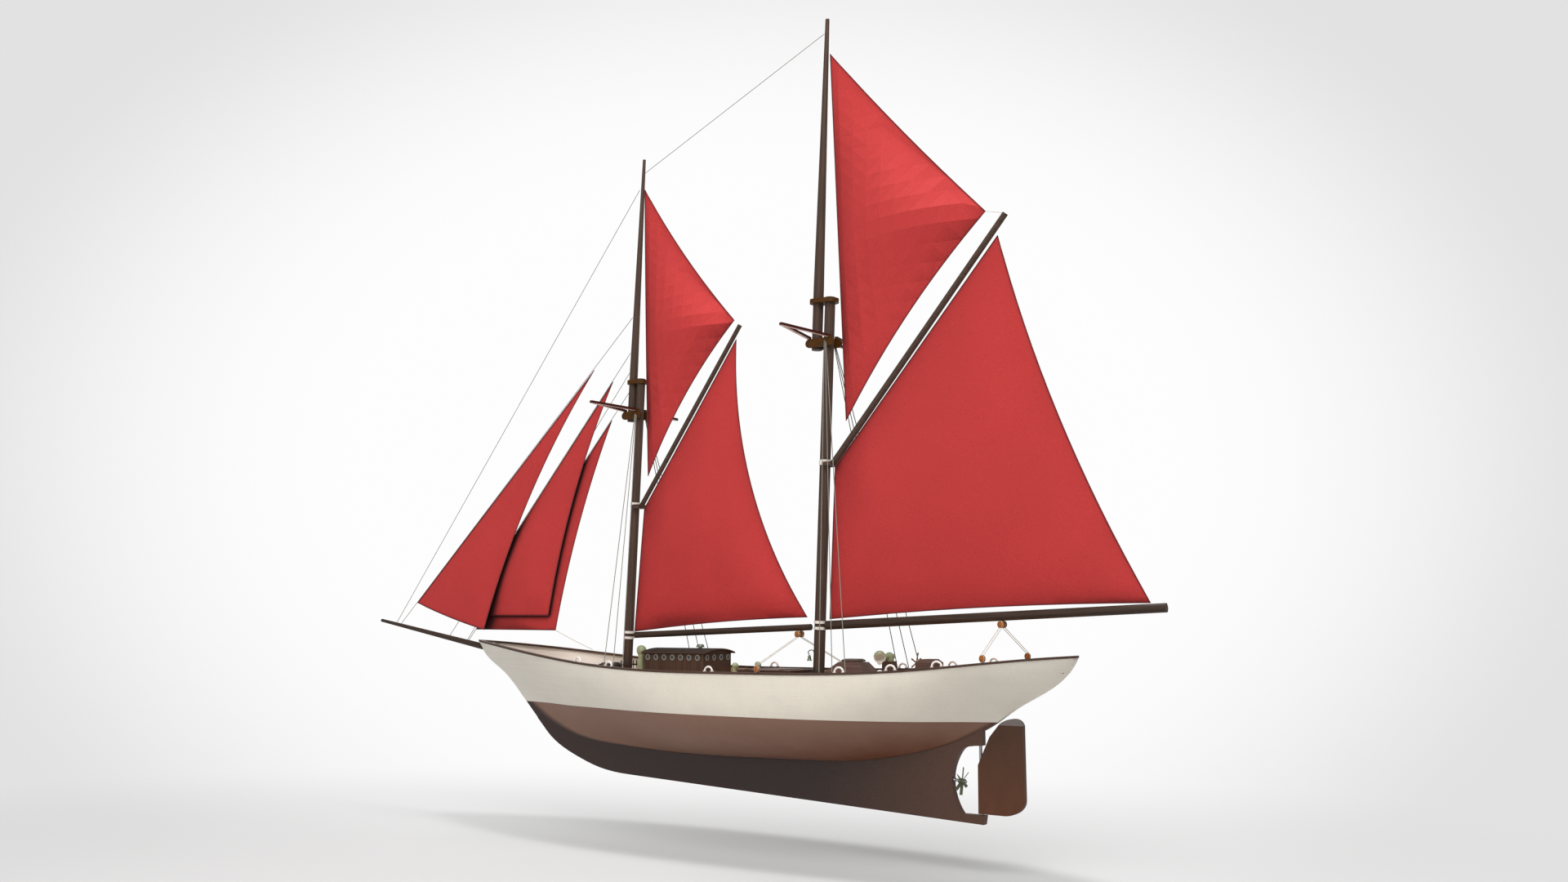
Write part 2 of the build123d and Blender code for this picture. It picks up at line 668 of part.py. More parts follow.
def skylight():
    """Low skylight: upright coaming and four faces that slope in to a flat top."""
    coaming_z, top_z = 62.0, 76.0
    base = [(-240, -22), (-175, -22), (-175, 22), (-240, 22)]
    top = [(-229, -13), (-193, -13), (-193, 13), (-229, 13)]
    lower = Polyline(*[(x, y, coaming_z) for x, y in base], close=True)
    upper = Polyline(*[(x, y, top_z) for x, y in top], close=True)
    roof = Solid.make_loft([Wire(lower.edges()), Wire(upper.edges())])
    return above_deck(block(-240, -175, -22, 22, 30, coaming_z)) + roof


LID_HINGE = (-197.5, 76.4)


def skylight_lid():
    x, z = LID_HINGE
    lid = block(x - 27, x, -11.5, 11.5, z, z + 3.4)
    return chamfer(lid.faces().sort_by(Axis.Z)[-1].edges(), 1.4)


def binnacle_stand():
    return above_deck(block(-278, -262, -7.5, 7.5, 30, 78))


def binnacle_dome():
    """Compass dome between two compensating balls on brackets."""
    dome = Pos(-270, 0, 78.05) * Cylinder(6.6, 6.0, align=(Align.CENTER, Align.CENTER, Align.MIN))
    dome += Pos(-270, 0, 84.05) * Sphere(6.6) & block(-280, -260, -9, 9, 78.05, 92)
    for side in (-1, 1):
        dome += Pos(-270, side * 9.2, 84.5) * Sphere(4.0)
        dome += spar((-270, 0, 84.5), (-270, side * 9.2, 84.5), 1.2, 1.2)
    return dome


WHEEL = (-313.0, 0.0, 76.5)
WHEEL_AXLE_R = 1.5


def steering_wheel():
    """Ship's wheel: rim, hub, eight spokes that end in handles, and the axle."""
    x, y, z = WHEEL
    turn = Pos(x, y, z) * Rot(0, 90, 0)
    wheel = turn * Torus(10.0, 1.5)
    wheel += turn * Cylinder(3.2, 4.0)
    for i in range(8):
        a = math.radians(45 * i + 22.5)
        tip = (x, y + 15 * math.sin(a), z + 15 * math.cos(a))
        wheel += spar((x, y, z), tip, 0.9, 0.9)
        grip = (x, y + 12.4 * math.sin(a), z + 12.4 * math.cos(a))
        wheel += spar(grip, tip, 1.3, 0.9)
    return wheel + spar((x, y, z), (x - 20, y, z), WHEEL_AXLE_R, WHEEL_AXLE_R)


def wheel_box():
    """Steering-gear box behind the wheel, chamfered along its top."""
    box = block(-347, -321, -16, 16, 30, 82)
    box = chamfer(box.faces().sort_by(Axis.Z)[-1].edges(), 5.0)
    x, y, z = WHEEL
    return above_deck(box) - spar((x, y, z), (x - 21, y, z), WHEEL_AXLE_R + RUN, WHEEL_AXLE_R + RUN)


# Places of the fairleads along the rail: port side, then starboard.
FAIRLEADS = {
    1: (229.0, 158.0, -37.0, -252.0, -327.0, -390.0),
    -1: (229.0, 158.0, 5.0, -232.0, -319.0, -390.0),
}


def fairleads():
    """White half rings that stand on the cap rail."""
    rings = []
    for side, places in FAIRLEADS.items():
        for x in places:
            _, y, z = rail_point(x, CAP_T / 2 + 0.35, 2.6)
            heading = math.degrees(math.atan2(rail_breadth(x + 5) - rail_breadth(x - 5), 10))
            rise = math.degrees(math.atan(float(rail_height(x, 1))))
            arch = Rot(90, 0, 0) * Torus(6.6, 1.4)
            arch &= block(-20, 20, -5, 5, 0, 20)
            foot = block(-8.4, -4.6, -1.8, 1.8, -0.2, 1.0) + block(4.6, 8.4, -1.8, 1.8, -0.2, 1.0)
            rings.append(Pos(x, side * y, z) * Rot(0, 0, side * heading) * Rot(0, -rise, 0) * (arch + foot))
    return rings


BELL = (-135.6, 0.0, 86.0)


def ship_bell():
    x, _, z = BELL
    outside = [(0, 0.9), (1.3, 0.9), (2.2, 3), (2.6, 6.5), (3.9, 9.6)]
    inside = [(3.0, 9.6), (1.8, 6.5), (1.4, 3.4), (0, 3.4)]
    outline = Polyline(*[(radius, 0, z - drop) for radius, drop in outside + inside], close=True)
    body = revolve(Face(Wire(outline.edges())), Axis.Z)
    clapper = spar((0, 0, z - 3.0), (0, 0, z - 9.0), 0.5, 0.9)
    return Pos(x, 0, 0) * (body + clapper)


def bell_hook():
    """Curved iron hook on the forward side of the mainmast."""
    x, _, z = BELL
    root = main_mast(z + 3.0)[0] + MAIN_R + 0.8
    path = Spline((root, 0, z + 3.0), (x - 0.6, 0, z + 5.6), (x + 1.9, 0, z + 3.2), (x, 0, z - 0.2))
    section = Plane(origin=path @ 0, z_dir=path % 0) * Circle(0.7)
    return sweep(section, path)


WINDLASS = (251.0, 62.0)       # X and Z of the barrel's axis


def windlass_frame():
    """Two cheeks that carry the anchor windlass barrel."""
    x, z = WINDLASS
    cheek = block(x - 9, x + 9, 14, 17, 30, z + 6)
    cheek = chamfer(cheek.faces().sort_by(Axis.Z)[-1].edges().filter_by(Axis.Y), 5)
    cheek -= spar((x, 0, z), (x, 20, z), 2.0 + RUN, 2.0 + RUN)
    return both_sides(above_deck(cheek))


def windlass_barrel():
    """Barrel between the cheeks with a warping drum outside each."""
    x, z = WINDLASS
    barrel = spar((x, -25, z), (x, 25, z), 2.0, 2.0)
    barrel += spar((x, -13.8, z), (x, 13.8, z), 4.8, 4.8)
    for side in (-1, 1):
        barrel += spar((x, side * 17.2, z), (x, side * 21, z), 4.6, 3.4)
        barrel += spar((x, side * 21, z), (x, side * 25, z), 3.4, 4.6)
        barrel += spar((x, side * 13.8, z), (x, side * 11.5, z), 6.2, 6.2)
    return barrel


# ---- steering and propulsion --------------------------------------------------------------
def rudder_blade():
    top = Polyline((-405.6, 0, -57.4), (-411.4, 0, -45), (-423.4, 0, -19.5), (-438.5, 0, -1.7))
    outline = [
        Line((-405, 0, -121.0), (-405.6, 0, -57.4)),
        *top.edges(),
        Spline((-438.5, 0, -1.7), (-450, 0, 3.9), (-466, 0, 3.7), (-471.6, 0, -3)),
        Line((-471.6, 0, -3), (-471.7, 0, -99)),
        Spline((-471.7, 0, -99), (-468, 0, -110), (-457, 0, -118), (-440, 0, -121.0)),
        Line((-440, 0, -121.0), (-405, 0, -121.0)),
    ]
    blade = prism(outline, RUDDER_T / 2)
    return blade - spar((STOCK_X, 0, -130), (STOCK_X, 0, 10), STOCK_R, STOCK_R)


def rudder_stock():
    """Stock with its pintle in the shoe, and the tiller arm clamped on its head."""
    stock = spar((STOCK_X, 0, SHOE_TOP - 7), (STOCK_X, 0, TILLER_Z + 6), STOCK_R, STOCK_R)
    arm = spar((STOCK_X, 0, TILLER_Z), (STOCK_X, 0, TILLER_Z + 3), 4.5, 4.5)
    arm += block(STOCK_X - 2.5, STOCK_X + 2.5, 0, TILLER_ARM + 3, TILLER_Z, TILLER_Z + 3)
    arm -= spar((STOCK_X, 0, TILLER_Z - 1), (STOCK_X, 0, TILLER_Z + 8), STOCK_R, STOCK_R)
    arm -= link_pin(STOCK_X, RUN)
    return [stock, arm]


SERVO_X = -308.0


def link_pin(x, extra=0.0):
    r = 0.9 + extra
    return spar((x, TILLER_ARM, TILLER_Z - 1 - extra), (x, TILLER_ARM, TILLER_Z + 4), r, r)


def servo_horn():
    """Arm on the steering servo, parallel to the tiller arm."""
    arm = spar((SERVO_X, 0, TILLER_Z), (SERVO_X, 0, TILLER_Z + 3), 4.5, 4.5)
    arm += block(SERVO_X - 2.5, SERVO_X + 2.5, 0, TILLER_ARM + 3, TILLER_Z, TILLER_Z + 3)
    arm -= spar((SERVO_X, 0, TILLER_Z - 1), (SERVO_X, 0, TILLER_Z + 1.8), 2.0 + RUN, 2.0 + RUN)
    return arm - link_pin(SERVO_X, RUN)


def pushrod():
    """Rod from the servo horn to the tiller arm, with a turned-down pin at each end."""
    z = TILLER_Z + 4.2
    rod = spar((SERVO_X, TILLER_ARM, z), (STOCK_X, TILLER_ARM, z), 1.0, 1.0)
    return rod + link_pin(SERVO_X) + link_pin(STOCK_X)


SHELF_TOP = 10.0


def rudder_servo():
    """Steering servo on its shelf, with mounting ears and output spline."""
    body = block(-324, -301, -6, 6, SHELF_TOP + 0.05, TILLER_Z - 3)
    body += block(-330, -295, -6, 6, SHELF_TOP + 14, SHELF_TOP + 16)
    return body + spar((SERVO_X, 0, TILLER_Z - 4), (SERVO_X, 0, TILLER_Z + 1.5), 2.0, 2.0)


def propeller():
    """Hub and six narrow pitched blades."""
    hub = spar(shaft_point(-4), shaft_point(5), 3.4, 3.8)
    axis = Vector(shaft_point(1)) - Vector(shaft_point(0))
    base = Plane(origin=shaft_point(0.5), x_dir=(0, 1, 0), z_dir=axis)
    for i in range(6):
        blade = Rot(38, 0, 0) * Box(PROP_R - 3, 4.2, 0.9)
        hub += base * Rot(0, 0, 60 * i + 30) * Pos(3 + (PROP_R - 3) / 2, 0, 0) * blade
    return hub - spar(shaft_point(-8), shaft_point(8), SHAFT_R + 0.01, SHAFT_R + 0.01)


MOTOR = (262.0, 302.0)         # distances of the motor's ends from the hub, along the shaft
MOTOR_R = 13.5


def prop_shaft():
    """Propeller shaft and the coupling that joins it to the motor."""
    shaft = spar(shaft_point(-6), shaft_point(244), SHAFT_R, SHAFT_R)
    sleeve = spar(shaft_point(238), shaft_point(256), 4.6, 4.6)
    sleeve -= spar(shaft_point(230), shaft_point(260), SHAFT_R + 0.01, SHAFT_R + 0.01)
    return [shaft, sleeve]


def stern_tube():
    tube = spar(shaft_point(10.5), shaft_point(205), TUBE_R, TUBE_R)
    return tube - spar(shaft_point(5), shaft_point(210), SHAFT_R + RUN, SHAFT_R + RUN)


def motor():
    """Electric motor with its boss and the stub of its shaft."""
    can = spar(shaft_point(MOTOR[0]), shaft_point(MOTOR[1]), MOTOR_R, MOTOR_R)
    can += spar(shaft_point(MOTOR[0] - 3), shaft_point(MOTOR[0]), 5.0, 5.0)
    return can + spar(shaft_point(MOTOR[1]), shaft_point(MOTOR[1] + 4), 4.0, 4.0)


# ---- radio gear ---------------------------------------------------------------------------
def inside_hull(shape, gap):
    return shape & loft_body(INNER_STATIONS, SHELL_T + gap)


def radio_tray():
    """Plywood tray that the masts and the radio gear stand on, and the steering servo's shelf."""
    tray = block(-262, 242, -32, 32, MAST_HEEL_Z - 3, MAST_HEEL_Z)
    tray -= block(-134, -76, -16, 16, MAST_HEEL_Z - 10, MAST_HEEL_Z + 10)
    shelf = block(-342, -286, -34, 34, SHELF_TOP - 3, SHELF_TOP)
    return [inside_hull(tray, 0.3), inside_hull(shelf, 0.3)]


def battery_pack():
    """Pack of six cells side by side, seen through its shrink sleeve."""
    cell_r, length = 7.2, 50.0
    pack = None
    for i in range(6):
        x = 58 + i * 2 * cell_r * 0.98
        z = MAST_HEEL_Z + 0.1 + cell_r
        cell = spar((x, -length / 2, z), (x, length / 2, z), cell_r, cell_r)
        pack = cell if pack is None else pack + cell
    return pack


WINCH = (-6.0, 0.0)
WINCH_DECK = -7.0


def sail_winch():
    """Winch servo that hauls the sheets, with its output shaft."""
    body = block(-26, 16, -10, 10, MAST_HEEL_Z + 0.05, WINCH_DECK - 1.5)
    body += block(-33, 23, -10, 10, -19, -16.5)
    return body + spar((WINCH[0], WINCH[1], WINCH_DECK - 3), (WINCH[0], WINCH[1], WINCH_DECK + 6), 2.4, 2.4)


def winch_drum():
    drum = spar((*WINCH, WINCH_DECK), (*WINCH, WINCH_DECK + 2), 15.0, 15.0)
    drum += spar((*WINCH, WINCH_DECK + 2), (*WINCH, WINCH_DECK + 7), 11.5, 11.5)
    drum += spar((*WINCH, WINCH_DECK + 7), (*WINCH, WINCH_DECK + 9), 15.0, 15.0)
    bore = spar((*WINCH, WINCH_DECK - 1), (*WINCH, WINCH_DECK + 6.2), 2.4 + RUN, 2.4 + RUN)
    return drum - bore


def receiver():
    body = block(-66, -38, -12, 12, MAST_HEEL_Z + 0.05, -24)
    return chamfer(body.edges().filter_by(Axis.Z), 2)


# ---- write the nodes ----------------------------------------------------------------------
def write(node, shape):
    """Move a piece from the lines plan to the part's frame and write it as one STEP file."""
    pieces = shape if isinstance(shape, list) else [shape]
    solids = [solid for piece in pieces for solid in piece.solids()]
    placed = [solid.moved(Location((-KEEL_FOOT[0], -KEEL_FOOT[1], -KEEL_FOOT[2]))) for solid in solids]
    export_step(Compound(children=placed, label=node), os.path.join("parts", node + ".step"))


def main():
    os.makedirs("parts", exist_ok=True)
    write("hull_shell", hull_shell())
    write("deck", deck())
    write("cap_rail", cap_rail())
    write("keel_ballast", ballast_solid())
    write("bowsprit", bowsprit_spar())
    write("fore_lower_mast", lower_mast(fore_mast, FORE_CAP_Z, FORE_R))
    write("fore_topmast", topmast(
        fore_mast, FORE_DOUBLING, FORE_TREE_Z, FORE_CAP_Z, FORE_TRUCK_Z, FORE_TOP_R, 2.6))
    write("main_lower_mast", lower_mast(main_mast, MAIN_CAP_Z, MAIN_R))
    write("main_topmast", topmast(
        main_mast, MAIN_DOUBLING, MAIN_TREE_Z, MAIN_CAP_Z, MAIN_TRUCK_Z, MAIN_TOP_R, 3.2))
    write("mast_caps", mast_caps())
    write("crosstrees", crosstrees())
    write("mast_fittings", mast_bands() + [bell_hook()])
    write("headstays", headstays())
    write("shrouds", shrouds())
    write("fore_boom", boom(fore_mast, FORE_GOOSENECK_Z, 13.5, -138.6, BOOM_SLOPE, 5.0, 4.7, FORE_R + 1.2))
    write("fore_gaff", gaff(fore_mast, FORE_JAW_Z, 14.0, (-6.7, 600.2), 4.0, 3.6, FORE_R))
    write("foresail", sail(*FORESAIL))
    write("fore_topsail", sail(*FORE_TOPSAIL))
    write("main_boom", boom(
        main_mast, MAIN_GOOSENECK_Z, 11.5, -667.7, MAIN_BOOM_SLOPE, 6.6, 6.0, MAIN_R + 1.2))
    write("main_gaff", gaff(main_mast, MAIN_JAW_Z, 15.0, (-463.8, 701.3), 5.0, 4.4, MAIN_R))
    write("mainsail", sail(*MAINSAIL))
    write("main_topsail", sail(*MAIN_TOPSAIL))
    write("flying_jib", headsail(FLYING_JIB, "flying_jib_stay"))
    write("jib", headsail(JIB, "jib_stay"))
    write("fore_staysail", headsail(STAYSAIL, "staysail_stay"))
    write("main_sheet", sheet_ropes(*main_sheet_points()))
    write("fore_sheet", sheet_ropes(*fore_sheet_points()))
    write("deck_blocks", deck_blocks())
    write("main_boom_blocks", boom_blocks(main_sheet_points()))
    write("fore_boom_blocks", boom_blocks(fore_sheet_points()))
    write("deckhouse_walls", deckhouse_walls())
    write("deckhouse_roof", deckhouse_roof())
    write("porthole_rims", porthole_rims())
    write("porthole_glass", porthole_glass())
    write("roof_vent", roof_vent())
    write("cowl_vents", cowl_vents())
    write("skylight", skylight())
    write("skylight_lid", skylight_lid())
    write("binnacle_stand", binnacle_stand())
    write("binnacle_dome", binnacle_dome())
    write("steering_wheel", steering_wheel())
    write("wheel_box", wheel_box())
    write("fairleads", fairleads())
    write("ship_bell", ship_bell())
    write("windlass_frame", windlass_frame())
    write("windlass_barrel", windlass_barrel())
    write("rudder_blade", rudder_blade())
    write("rudder_stock", rudder_stock())
    write("servo_horn", servo_horn())
    write("pushrod", pushrod())
    write("rudder_servo", rudder_servo())
    write("propeller", propeller())
    write("prop_shaft", prop_shaft())
    write("stern_tube", stern_tube())
    write("motor", motor())
    write("radio_tray", radio_tray())
    write("battery_pack", battery_pack())
    write("sail_winch", sail_winch())
    write("winch_drum", winch_drum())
    write("receiver", receiver())


main()
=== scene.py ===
import math

import bmesh
import bpy
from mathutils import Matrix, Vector
from mathutils.bvhtree import BVHTree


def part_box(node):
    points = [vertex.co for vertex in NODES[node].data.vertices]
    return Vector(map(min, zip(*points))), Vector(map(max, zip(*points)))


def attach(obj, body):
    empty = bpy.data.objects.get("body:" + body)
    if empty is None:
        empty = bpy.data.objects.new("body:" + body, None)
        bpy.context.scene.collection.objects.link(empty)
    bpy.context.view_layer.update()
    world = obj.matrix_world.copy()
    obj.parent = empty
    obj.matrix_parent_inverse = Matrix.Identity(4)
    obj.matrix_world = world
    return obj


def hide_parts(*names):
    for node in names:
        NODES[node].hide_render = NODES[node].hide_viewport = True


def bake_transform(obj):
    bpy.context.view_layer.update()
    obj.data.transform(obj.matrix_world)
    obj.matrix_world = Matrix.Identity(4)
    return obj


# Looks of the two-masted gaff schooner, in metres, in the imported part's frame: X forward, Y to
# port, Z up. The sails, running ropes, pulley blocks, deck planking and small fittings are built
# here; hull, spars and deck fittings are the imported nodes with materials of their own.

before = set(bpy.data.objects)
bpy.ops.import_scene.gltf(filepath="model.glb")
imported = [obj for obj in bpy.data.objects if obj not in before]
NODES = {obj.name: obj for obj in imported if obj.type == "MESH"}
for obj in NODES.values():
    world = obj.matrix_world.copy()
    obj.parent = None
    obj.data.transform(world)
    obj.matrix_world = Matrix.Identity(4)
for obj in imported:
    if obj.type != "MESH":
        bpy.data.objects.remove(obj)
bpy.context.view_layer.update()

MM = 0.001
WATERLINE = 121 * MM           # height of the load waterline over the part's origin
AMIDSHIPS = 100 * MM           # the lines plan's X origin, forward of the part's origin
FLOOR_Z = -80 * MM
PLANK = 7.5 * MM               # width of a deck plank
ROPE_STEPS = 40                # straight pieces in a running rope
GARBOARD = 5.6 * MM            # half-breadth within which painted shade darkens the bottom: the fin
HALF_BEAM = 120 * MM           # half the boat's beam over its rails, to the nearest mm


def at(x, y, z):
    """Point of the boat's lines plan, given in millimetres, in the part's frame."""
    return Vector((x * MM + AMIDSHIPS, y * MM, z * MM + WATERLINE))


# ---- node materials -----------------------------------------------------------------------
def srgb(red, green, blue):
    """Display colour, 0 to 255, as a linear RGBA colour."""
    def linear(value):
        v = value / 255
        return v / 12.92 if v <= 0.04045 else ((v + 0.055) / 1.055) ** 2.4
    return (linear(red), linear(green), linear(blue), 1.0)


def toned(colour, factor):
    """Colour made darker or lighter by a factor."""
    return tuple(min(c * factor, 1.0) for c in colour[:3]) + (1.0,)


class Shader:
    """Node material with short calls for the nodes that the finishes share."""

    def __init__(self, name, roughness=0.5, metallic=0.0):
        self.material = bpy.data.materials.new(name)
        self.material.use_nodes = True
        self.nodes = self.material.node_tree.nodes
        self.links = self.material.node_tree.links
        self.surface = self.nodes["Principled BSDF"]
        self.surface.inputs["Roughness"].default_value = roughness
        self.surface.inputs["Metallic"].default_value = metallic
        self.place = self.nodes.new("ShaderNodeTexCoord").outputs["Object"]

    def put(self, socket, value):
        """Feeds a socket from another node's output or sets it."""
        if isinstance(value, bpy.types.NodeSocket):
            self.links.new(value, socket)
        else:
            socket.default_value = value

    def stretched(self, scale, turn=(0, 0, 0)):
        """The object's own coordinates, scaled and then turned by degrees."""
        mapping = self.nodes.new("ShaderNodeMapping")
        self.put(mapping.inputs["Vector"], self.place)
        mapping.inputs["Rotation"].default_value = [math.radians(a) for a in turn]
        mapping.inputs["Scale"].default_value = scale
        return mapping.outputs["Vector"]

    def noise(self, scale, detail=3.0, turn=(0, 0, 0)):
        """Noise, 0 to 1; scale is in cycles per metre along each axis."""
        node = self.nodes.new("ShaderNodeTexNoise")
        self.put(node.inputs["Vector"], self.stretched(scale, turn))
        node.inputs["Scale"].default_value = 1.0
        node.inputs["Detail"].default_value = detail
        return node.outputs["Fac"]

    def waves(self, scale, turn=(0, 0, 0), distortion=0.0):
        """Sine bands across the turned X axis; scale is in bands per metre."""
        node = self.nodes.new("ShaderNodeTexWave")
        self.put(node.inputs["Vector"], self.stretched((1, 1, 1), turn))
        node.inputs["Scale"].default_value = scale / 3.1831   # the node's bands are 3.1831 per unit
        node.inputs["Distortion"].default_value = distortion
        return node.outputs["Fac"]

    def axis(self, name, vector=None):
        """One coordinate of the place, or of another vector."""
        split = self.nodes.new("ShaderNodeSeparateXYZ")
        self.put(split.inputs[0], self.place if vector is None else vector)
        return split.outputs[name]

    def maths(self, operation, a, b=0.0):
        node = self.nodes.new("ShaderNodeMath")
        node.operation = operation
        self.put(node.inputs[0], a)
        self.put(node.inputs[1], b)
        return node.outputs[0]

    def distance(self, a, b):
        node = self.nodes.new("ShaderNodeVectorMath")
        node.operation = "DISTANCE"
        self.put(node.inputs[0], a)
        self.put(node.inputs[1], b)
        return node.outputs["Value"]

    def spread(self, value, low, high, to_low=0.0, to_high=1.0):
        """Value between low and high as a number between to_low and to_high, clamped."""
        node = self.nodes.new("ShaderNodeMapRange")
        self.put(node.inputs["Value"], value)
        limits = {"From Min": low, "From Max": high, "To Min": to_low, "To Max": to_high}
        for socket, number in limits.items():
            node.inputs[socket].default_value = number
        return node.outputs["Result"]

    def mix(self, share, a, b):
        """Colour a where share is 0, colour b where it is 1."""
        node = self.nodes.new("ShaderNodeMix")
        node.data_type = "RGBA"
        self.put(node.inputs["Factor"], share)
        self.put(node.inputs["A"], a)
        self.put(node.inputs["B"], b)
        return node.outputs["Result"]

    def crowding_shade(self, reach, power):
        """For painting shade: 1 in the open, towards 0 where other surfaces crowd in within reach."""
        node = self.nodes.new("ShaderNodeAmbientOcclusion")
        node.samples = 8
        node.inputs["Distance"].default_value = reach
        return self.maths("POWER", node.outputs["AO"], power)

    def bump(self, height, distance, strength=1.0):
        """Relief of the surface; distance is the height of a full step."""
        node = self.nodes.new("ShaderNodeBump")
        self.put(node.inputs["Height"], height)
        node.inputs["Distance"].default_value = distance
        node.inputs["Strength"].default_value = strength
        self.links.new(node.outputs["Normal"], self.surface.inputs["Normal"])

    def colour(self, value):
        self.put(self.surface.inputs["Base Color"], value)

    def roughness(self, value):
        self.put(self.surface.inputs["Roughness"], value)

    def shine(self, level):
        """Strength of the highlights; 0.5 is a plain glossy surface."""
        self.surface.inputs["Specular IOR Level"].default_value = level


def wood(name, colour, grain_axis, roughness=0.5, turn=(0, 0, 0)):
    """Varnished or stained wood with streaks along one axis."""
    s = Shader(name, roughness)
    scale = [450.0, 450.0, 450.0]              # cycles per metre across the grain
    scale["XYZ".index(grain_axis)] = 14.0      # and along it
    streaks = s.noise(scale, 5.0, turn)
    pores = s.noise([c * 4 for c in scale], 2.0, turn)
    tone = s.mix(s.spread(streaks, 0.35, 0.65), toned(colour, 0.78), toned(colour, 1.22))
    s.colour(s.mix(s.spread(pores, 0.62, 0.75, 0.0, 0.35), tone, toned(colour, 0.45)))
    s.roughness(s.spread(streaks, 0.3, 0.7, roughness - 0.08, roughness + 0.12))
    s.bump(s.maths("ADD", streaks, pores), 0.12 * MM, 0.5)
    s.shine(0.15)
    return s.material


def paint(name, colour, roughness=0.45, metallic=0.0, mottle=0.1, bumps=0.05, shine=0.4):
    """Paint, plastic or metal with a slight mottle and orange peel."""
    s = Shader(name, roughness, metallic)
    cloud = s.noise([60.0] * 3, 3.0)
    speck = s.noise([900.0] * 3, 2.0)
    tone = s.mix(s.spread(cloud, 0.3, 0.7), toned(colour, 1 - mottle), toned(colour, 1 + mottle))
    s.colour(s.mix(s.spread(speck, 0.6, 0.75, 0.0, 0.3), tone, toned(colour, 0.7)))
    s.roughness(s.spread(speck, 0.3, 0.7, roughness - 0.05, roughness + 0.1))
    s.bump(speck, bumps * MM)
    s.shine(shine)
    return s.material


def hull_material():
    """Cream topsides and brown bottom with fine horizontal grain; painted shade greys the topsides towards
    the bow and the stern and darkens the fin and garboards.
    """
    s = Shader("hull_paint", 0.5)
    height = s.axis("Z")
    breadth = s.maths("ABSOLUTE", s.axis("Y"))
    length = s.axis("X")
    cream, grey = srgb(218, 210, 195), srgb(204, 198, 188)
    brown, red_brown, dark = srgb(126, 94, 79), srgb(104, 52, 24), srgb(52, 38, 34)
    lines = s.noise((6.0, 6.0, 800.0), 4.0)
    cloud = s.noise([26.0] * 3, 4.0)
    speck = s.noise([1300.0] * 3, 2.0)
    least_shaded = AMIDSHIPS - 160 * MM           # from here painted shade greys the topsides both ways
    away = s.maths("ABSOLUTE", s.maths("SUBTRACT", length, least_shaded))
    top = s.mix(s.spread(away, 200 * MM, 560 * MM), cream, grey)
    top = s.mix(s.spread(cloud, 0.45, 0.75, 0.0, 0.25), top, toned(grey, 0.85))
    top = s.mix(s.spread(lines, 0.35, 0.65, 0.0, 0.3), top, toned(cream, 1.06))
    top = s.mix(s.spread(speck, 0.5, 0.75, 0.0, 0.45), top, toned(grey, 0.68))
    aft = s.spread(length, AMIDSHIPS + 60 * MM, AMIDSHIPS - 330 * MM)
    low = s.spread(height, WATERLINE - 8 * MM, WATERLINE - 50 * MM)
    bottom = s.mix(s.maths("MULTIPLY", aft, low), brown, red_brown)
    bottom = s.mix(s.spread(speck, 0.45, 0.7, 0.0, 0.35), bottom, toned(brown, 0.55))
    bottom = s.mix(s.spread(cloud, 0.35, 0.7, 0.0, 0.25), bottom, toned(brown, 1.15))
    # painted shade: the flat-sided fin and the garboards by it are darkened, less so towards the stern
    flat = s.spread(breadth, GARBOARD * 1.6, GARBOARD)
    fin = s.mix(s.spread(length, AMIDSHIPS - 150 * MM, AMIDSHIPS - 360 * MM), dark, srgb(78, 52, 39))
    fin = s.mix(s.spread(speck, 0.5, 0.75, 0.0, 0.35), fin, toned(dark, 0.5))
    bottom = s.mix(flat, bottom, fin)
    s.colour(s.mix(s.maths("GREATER_THAN", height, WATERLINE), bottom, top))
    s.roughness(s.spread(speck, 0.3, 0.7, 0.45, 0.65))
    s.bump(s.maths("ADD", lines, speck), 0.08 * MM)
    s.shine(0.3)
    return s.material


def deck_material():
    """Pale planking: each plank has its own tone, with grain along it."""
    s = Shader("deck_planks", 0.6)
    grain = s.noise((18.0, 700.0, 700.0), 5.0)
    plank = s.maths("FLOOR", s.maths("DIVIDE", s.axis("Y"), PLANK))
    tone = s.nodes.new("ShaderNodeTexWhiteNoise")
    tone.noise_dimensions = "1D"
    s.put(tone.inputs["W"], plank)
    pale, deep = srgb(222, 190, 146), srgb(190, 152, 106)
    colour = s.mix(s.spread(tone.outputs["Value"], 0, 1, 0.1, 0.7), pale, deep)
    s.colour(s.mix(s.spread(grain, 0.4, 0.68, 0.0, 0.5), colour, toned(deep, 0.75)))
    s.bump(grain, 0.08 * MM)
    return s.material


def sail_material():
    """Dyed cotton: crossed threads, slubs and uneven dye, with painted shade where sails lie close
    together.
    """
    s = Shader("sailcloth", 0.9)
    warp = s.waves(1500.0, (0, 0, 0), 1.5)
    weft = s.waves(1500.0, (0, 90, 0), 1.5)
    weave = s.maths("MULTIPLY", warp, weft)
    slub = s.noise((420.0, 420.0, 900.0), 3.0)
    dye = s.noise([9.0] * 3, 3.0)
    red = srgb(187, 57, 56)
    colour = s.mix(s.spread(dye, 0.3, 0.7), toned(red, 0.94), toned(red, 1.05))
    colour = s.mix(s.spread(slub, 0.38, 0.68, 0.0, 0.55), colour, toned(red, 0.66))
    colour = s.mix(s.spread(weave, 0.0, 0.6, 0.25, 0.0), colour, toned(red, 0.6))
    # painted shade: the cloth turns almost black where other surfaces crowd in within 60 mm
    s.colour(s.mix(s.crowding_shade(60 * MM, 7.0), toned(red, 0.06), colour))
    s.bump(s.maths("ADD", weave, slub), 0.1 * MM, 0.6)
    s.shine(0.2)
    return s.material


